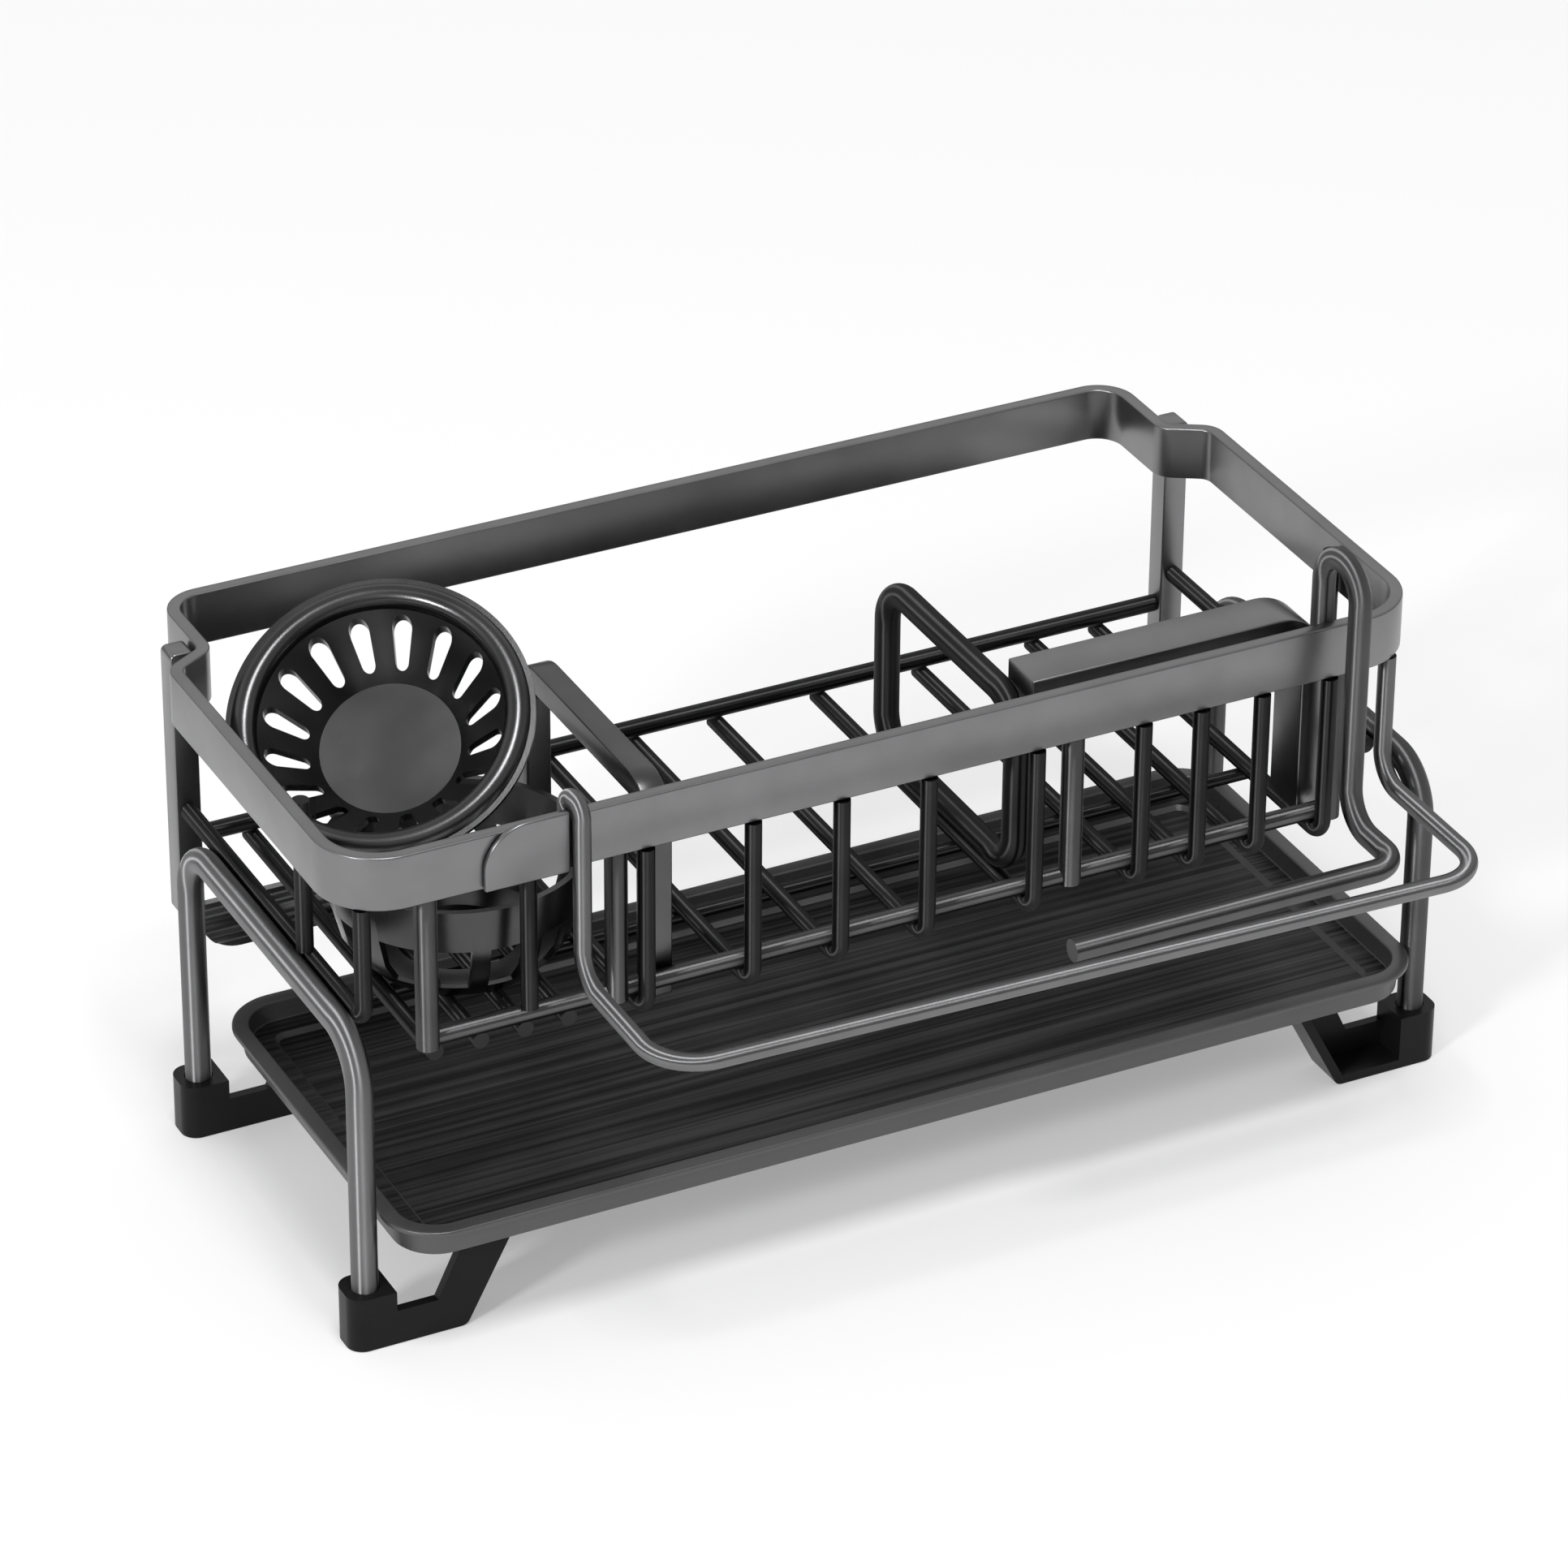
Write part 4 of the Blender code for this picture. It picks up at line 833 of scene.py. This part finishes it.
def make_hook_arm(parent):
    """The thicker arm: high arch over the rim, down in front, forward, and back along the bar."""
    x = HOOK_SHARE * HALF_LENGTH
    inside = -(INNER_FACE - GAP - HOOK_ROD / 2)
    outside = inside - HOOK_SPAN
    top = RIM_TOP + HOOK_RISE + HOOK_ROD / 2
    low = RIM_TOP - HOOK_DROP
    reach = outside - HOOK_REACH
    corners = [(x, inside, RIM_TOP - HOOK_TAIL), (x, inside, top), (x, outside, top), (x, outside, low)]
    corners += [(x, reach, low), (HOOK_END_SHARE * HALF_LENGTH, reach, low)]
    arch = HOOK_SPAN * HOOK_ARCH_SHARE
    radii = [0, arch, arch, HOOK_ELBOW, HOOK_CORNER, 0]
    tube("hook_arm", rounded_path(corners, radii, BEND_STEPS), 0, HOOK_ROD, parent)


def make_cup_basket(parent):
    """The upright basket: a plain band, ribs that curve in, and a base ring."""
    height = CUP_TOP - STANDING_Z
    opening = CUP_OPENING_SHARE * CUP_RADIUS
    levels = [-share * height for share in CUP_LEVEL_SHARES]
    radii = [share * CUP_RADIUS for share in CUP_RADIUS_SHARES]
    outer = list(zip(radii, levels))
    inner = [(radius - CUP_WALL, level) for radius, level in outer[:-1]]
    base_top = CUP_BASE_HEIGHT - height
    base = [(opening, -height), (opening, base_top), (radii[-1] - CUP_WALL, base_top)]
    profile = outer + base + inner[::-1]
    basket = mesh_object("cup_basket", spin_profile(profile), parent)
    builder = bmesh.new()
    reach = (opening, CUP_RADIUS + CUT_OVERRUN)
    pitch = math.pi / CUP_RIBS
    for index in range(CUP_RIBS):
        outlines = []
        for radius in reach:
            half = radius * math.tan(pitch) - CUP_RIB_WIDTH / 2
            low = CUP_BASE_HEIGHT + CUP_WALL - height
            window = [(-half, low, 0), (half, low, 0)]
            window += [(half, -CUP_BAND_HEIGHT, 0), (-half, -CUP_BAND_HEIGHT, 0)]
            outlines.append([Vector(corner) for corner in window])
        add_spoke(builder, outlines, reach, (index + 0.5) / CUP_RIBS)
    cut(basket, mesh_object("cup_windows", builder, parent))


def roll_point(degrees):
    """A point round the dish's rolled rim, counted from its outermost place over the top."""
    angle = math.radians(degrees)
    middle = DISH_ROLL_SHARE * CUP_RADIUS
    return (middle + DISH_ROLL * math.cos(angle), DISH_ROLL * math.sin(angle))


def dish_profile():
    """The dish's turned section: floor, cone, rolled rim and outer flange."""
    floor_radius = DISH_FLOOR_SHARE * CUP_RADIUS
    profile = [(0, -DISH_DEPTH), (floor_radius, -DISH_DEPTH)]
    profile += [roll_point(degrees) for degrees in ROLL_UNDER]
    profile += [(DISH_RADIUS, -DISH_FLANGE / 2), (DISH_RADIUS, DISH_FLANGE / 2)]
    profile += [roll_point(degrees) for degrees in ROLL_OVER]
    profile += [(floor_radius - DISH_WALL, DISH_WALL - DISH_DEPTH), (0, DISH_WALL - DISH_DEPTH)]
    return profile


def make_cup_dish(parent):
    """The leaning dish with its ring of slots, wider outwards, through the cone."""
    dish = mesh_object("cup_dish", spin_profile(dish_profile()), parent)
    builder = bmesh.new()
    for index in range(DISH_SLOTS):
        turn = Matrix.Rotation(index / DISH_SLOTS * math.tau, 3, "Z")
        outline = []
        for reach_share, half_share, first in zip(SLOT_REACH_SHARES, SLOT_WIDTH_SHARES, (90, -90)):
            reach = reach_share * CUP_RADIUS
            half = half_share * CUP_RADIUS
            for step in range(CORNER_STEPS + 1):
                angle = math.radians(first + step * 180 / CORNER_STEPS)
                outline.append(turn @ Vector((reach + half * math.cos(angle), half * math.sin(angle), 0)))
        rings = []
        for height in (-DISH_DEPTH - CUT_OVERRUN, 0):
            rings.append([builder.verts.new((point.x, point.y, height)) for point in outline])
            builder.faces.new(rings[-1])
        bridge(builder, rings[0], rings[1])
    cut(dish, mesh_object("dish_slots", builder, parent))


def noise(tree, scale, stretch=NO_STRETCH):
    """The level of a noise in object space, in cycles per metre, stretched along an axis."""
    place_at = tree.nodes.new("ShaderNodeTexCoord")
    mapping = tree.nodes.new("ShaderNodeMapping")
    mapping.inputs["Scale"].default_value = stretch
    texture = tree.nodes.new("ShaderNodeTexNoise")
    texture.inputs["Scale"].default_value = scale
    texture.inputs["Detail"].default_value = NOISE_DETAIL
    tree.links.new(place_at.outputs["Object"], mapping.inputs["Vector"])
    tree.links.new(mapping.outputs["Vector"], texture.inputs["Vector"])
    return texture.outputs[0]


def ramp(tree, source, limits, values):
    """A level that runs through the values while its source runs between the limits."""
    spread = tree.nodes.new("ShaderNodeMapRange")
    spread.inputs["From Min"].default_value = limits[0]
    spread.inputs["From Max"].default_value = limits[1]
    spread.inputs["To Min"].default_value = values[0]
    spread.inputs["To Max"].default_value = values[1]
    tree.links.new(source, spread.inputs["Value"])
    return spread.outputs["Result"]


def coat(tone):
    """A grey with a trace of blue."""
    return (tone, tone, tone * COOL_SHARE, 1)


def looks(name, tones, metal, roughness, grain, stretch=NO_STRETCH, bump=FINE_BUMP, tone_scale=TONE_SCALE,
          spread=TONE_SPREAD, drawn=0.0, gloss=PLAIN_GLOSS):
    """A procedural finish: tone between two greys, uneven roughness, fine grain and drawn-metal streaks."""
    made = bpy.data.materials.new(name)
    made.use_nodes = True
    tree = made.node_tree
    shader = tree.nodes["Principled BSDF"]
    shader.inputs["Metallic"].default_value = metal
    shader.inputs["Specular IOR Level"].default_value = gloss
    mix = tree.nodes.new("ShaderNodeMix")
    mix.name = "tone"
    mix.data_type = "RGBA"
    mix.inputs["A"].default_value = coat(tones[0])
    mix.inputs["B"].default_value = coat(tones[1])
    tree.links.new(ramp(tree, noise(tree, tone_scale, stretch), spread, (0, 1)), mix.inputs["Factor"])
    tree.links.new(mix.outputs["Result"], shader.inputs["Base Color"])
    uneven = ramp(tree, noise(tree, ROUGHNESS_SCALE), ROUGHNESS_SPREAD, roughness)
    tree.links.new(uneven, shader.inputs["Roughness"])
    relief = tree.nodes.new("ShaderNodeBump")
    relief.inputs["Strength"].default_value = bump
    relief.inputs["Distance"].default_value = BUMP_HEIGHT
    tree.links.new(noise(tree, grain, stretch), relief.inputs["Height"])
    tree.links.new(relief.outputs["Normal"], shader.inputs["Normal"])
    if drawn:
        shader.inputs["Anisotropic"].default_value = drawn
        along = tree.nodes.new("ShaderNodeTangent")
        along.direction_type = "UV_MAP"
        tree.links.new(along.outputs["Tangent"], shader.inputs["Tangent"])
    return made


def height_of(tree, vector):
    """The upward part of a vector."""
    split = tree.nodes.new("ShaderNodeSeparateXYZ")
    tree.links.new(vector, split.inputs["Vector"])
    return split.outputs["Z"]


def larger_of(tree, first, second):
    """The larger of two levels."""
    larger = tree.nodes.new("ShaderNodeMath")
    larger.operation = "MAXIMUM"
    tree.links.new(first, larger.inputs[0])
    tree.links.new(second, larger.inputs[1])
    return larger.outputs["Value"]


def paint_tray_wall_light(finish):
    """Painted light on the tray's finish: a lighter tone on its lip and its upright walls, as if they
    mirrored the bright floor.
    """
    tree = finish.node_tree
    shader = tree.nodes["Principled BSDF"]
    shape = tree.nodes.new("ShaderNodeNewGeometry")
    upright = ramp(tree, height_of(tree, shape.outputs["Normal"]), (LEVEL_FACING, UPRIGHT_FACING), (0, 1))
    lip_heights = (TRAY_TOP - TRAY_LIP_THICKNESS, TRAY_TOP - EDGE_ROUNDING)
    lip = ramp(tree, height_of(tree, shape.outputs["Position"]), lip_heights, (0, 1))
    mix = tree.nodes.new("ShaderNodeMix")
    mix.data_type = "RGBA"
    mix.inputs["B"].default_value = coat(TRAY_PAINTED_LIGHT_TONE)
    tree.links.new(larger_of(tree, upright, lip), mix.inputs["Factor"])
    tree.links.new(tree.nodes["tone"].outputs["Result"], mix.inputs["A"])
    tree.links.new(mix.outputs["Result"], shader.inputs["Base Color"])


def dress(body, finish, name):
    """Bake one fine piece to a mesh in place, let it ride on its body and stand for its CAD node."""
    built = bpy.data.objects[PREFIX + name]
    mesh = evaluated_mesh(built)
    mesh.transform(built.matrix_world)
    mesh.shade_smooth()
    mesh.set_sharp_from_angle(angle=math.radians(SMOOTH_ANGLE))
    mesh.materials.append(finish)
    fine = bpy.data.objects.new(name + FINE_SUFFIX, mesh)
    bpy.context.scene.collection.objects.link(fine)
    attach(fine, body)
    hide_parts(name)


def clear_helpers(known):
    """Remove what the build left behind: sources, cutters and group empties."""
    for thing in list(bpy.data.objects):
        if thing.name not in known and not thing.name.endswith(FINE_SUFFIX):
            bpy.data.objects.remove(thing, do_unlink=True)


def area_light(name, place_at, size, power):
    """A soft square light aimed at the object."""
    light = bpy.data.lights.new(name, "AREA")
    light.shape = "SQUARE"
    light.size = size
    light.energy = power
    lamp = bpy.data.objects.new(name, light)
    bpy.context.scene.collection.objects.link(lamp)
    lamp.location = place_at
    lamp.rotation_euler = (Vector(LAMP_AIM) - Vector(place_at)).to_track_quat("-Z", "Y").to_euler()


def seen_or_mirrored(tree):
    """One where a ray comes from the camera, a mirror or a glass, and zero elsewhere."""
    path = tree.nodes.new("ShaderNodeLightPath")
    mirrored = larger_of(tree, path.outputs["Is Camera Ray"], path.outputs["Is Glossy Ray"])
    return larger_of(tree, mirrored, path.outputs["Is Transmission Ray"])


def floor_paper():
    """White paper that keeps shadows and looks white to the camera and in mirrors."""
    paper = bpy.data.materials.new("floor_paper")
    paper.use_nodes = True
    tree = paper.node_tree
    shader = tree.nodes["Principled BSDF"]
    shader.inputs["Base Color"].default_value = (*[PAPER_TONE] * 3, 1)
    shader.inputs["Roughness"].default_value = PAPER_ROUGHNESS
    shader.inputs["Specular IOR Level"].default_value = 0.0
    glow = tree.nodes.new("ShaderNodeEmission")
    glow.inputs["Color"].default_value = (1, 1, 1, 1)
    share = tree.nodes.new("ShaderNodeMath")
    share.operation = "MULTIPLY"
    share.inputs[1].default_value = PAPER_GLOW_SHARE
    tree.links.new(seen_or_mirrored(tree), share.inputs[0])
    mix = tree.nodes.new("ShaderNodeMixShader")
    tree.links.new(share.outputs["Value"], mix.inputs["Fac"])
    tree.links.new(shader.outputs["BSDF"], mix.inputs[1])
    tree.links.new(glow.outputs["Emission"], mix.inputs[2])
    tree.links.new(mix.outputs["Shader"], tree.nodes["Material Output"].inputs["Surface"])
    return paper


def room_ramp(tree, source, tones):
    """A grey that follows one part of the direction, from a few stops."""
    ramp_node = tree.nodes.new("ShaderNodeValToRGB")
    tree.links.new(source, ramp_node.inputs["Fac"])
    stops = ramp_node.color_ramp.elements
    for index, (position, tone) in enumerate(tones):
        stop = stops[index] if index < len(stops) else stops.new(position)
        stop.position = position
        stop.color = (tone, tone, tone, 1)
    return ramp_node.outputs["Color"]


def studio_world():
    """A pale room: dim at the horizon and in front, with a broad bright band higher up."""
    world = bpy.data.worlds.new("studio")
    world.use_nodes = True
    bpy.context.scene.world = world
    tree = world.node_tree
    direction = tree.nodes.new("ShaderNodeTexCoord")
    split = tree.nodes.new("ShaderNodeSeparateXYZ")
    tree.links.new(direction.outputs["Generated"], split.inputs["Vector"])
    both = tree.nodes.new("ShaderNodeMix")
    both.data_type = "RGBA"
    both.blend_type = "MULTIPLY"
    both.inputs["Factor"].default_value = 1.0
    tree.links.new(room_ramp(tree, split.outputs["Z"], ROOM_RISING_TONES), both.inputs["A"])
    tree.links.new(room_ramp(tree, split.outputs["Y"], ROOM_BACKWARD_TONES), both.inputs["B"])
    tree.links.new(both.outputs["Result"], tree.nodes["Background"].inputs["Color"])


def make_stage():
    """Pale floor that looks white, a pale room and soft lamps."""
    mesh = bpy.data.meshes.new("floor")
    corners = [(-FLOOR_REACH, -FLOOR_REACH, 0), (FLOOR_REACH, -FLOOR_REACH, 0)]
    corners += [(FLOOR_REACH, FLOOR_REACH, 0), (-FLOOR_REACH, FLOOR_REACH, 0)]
    mesh.from_pydata(corners, [], [(0, 1, 2, 3)])
    floor = bpy.data.objects.new("floor", mesh)
    bpy.context.scene.collection.objects.link(floor)
    floor.location.z = -FLOOR_GAP
    mesh.materials.append(floor_paper())
    studio_world()
    for name, (place_at, size, power) in LAMPS.items():
        area_light(name, place_at, size, power)


def make_camera():
    """The camera fitted to the photo."""
    azimuth, elevation, roll = (math.radians(angle) for angle in CAMERA_ANGLES)
    back = Vector((math.sin(azimuth) * math.cos(elevation), -math.cos(azimuth) * math.cos(elevation),
                   math.sin(elevation)))
    right = (-back).cross(Vector((0, 0, 1))).normalized()
    up = right.cross(-back)
    turned_right = right * math.cos(roll) + up * math.sin(roll)
    turned_up = -right * math.sin(roll) + up * math.cos(roll)
    camera = bpy.data.cameras.new("photo_camera")
    camera.sensor_width = CAMERA_SENSOR
    camera.lens = CAMERA_LENS
    camera.clip_end = CAMERA_CLIP_END
    holder = bpy.data.objects.new("photo_camera", camera)
    bpy.context.scene.collection.objects.link(holder)
    target = Vector((CAMERA_AIM_X, CAMERA_AIM_Y - OBJECT_MIDDLE_Y, RIM_TOP))
    turn = Matrix((turned_right, turned_up, back)).transposed().to_4x4()
    holder.matrix_world = Matrix.Translation(target + back * CAMERA_REACH) @ turn
    bpy.context.scene.camera = holder
    bpy.context.scene.view_settings.view_transform = "Standard"


def build_organizer():
    """All pieces of the object, round the origin of its box."""
    organizer = group("organizer", None, (0, -OBJECT_MIDDLE_Y, 0))
    for maker in (make_rim, make_side_frames, make_side_rods, make_front_frame, make_floor, make_rear,
                  make_towel_bar, make_hook_arm, make_feet, make_tray, make_left_divider,
                  make_right_divider):
        maker(organizer)
    make_cup_basket(group("cup_basket_place", organizer, (CUP_X, CUP_Y, CUP_TOP)))
    dish = group("cup_dish_place", organizer, (DISH_X, DISH_Y, RIM_TOP - DISH_DROP))
    dish.rotation_euler = Vector(DISH_LEAN).to_track_quat("Z", "Y").to_euler()
    make_cup_dish(dish)


def main():
    """Fine pieces on the frame's bodies, then the stage."""
    known = {thing.name for thing in bpy.data.objects}
    build_organizer()
    finishes = {name: looks(name, **values) for name, values in FINISHES.items()}
    paint_tray_wall_light(finishes["tray_streaks"])
    record = frame["record"]
    slots = {part["node"]: part["material_slot"] for part in record["subparts"]}
    for body, names in record["behaviour"]["bodies"].items():
        for name in names:
            finish_name = PIECE_FINISHES.get(name, SLOT_FINISHES[slots[name]])
            dress(body, finishes[finish_name], name)
    clear_helpers(known)
    make_stage()
    make_camera()


main()
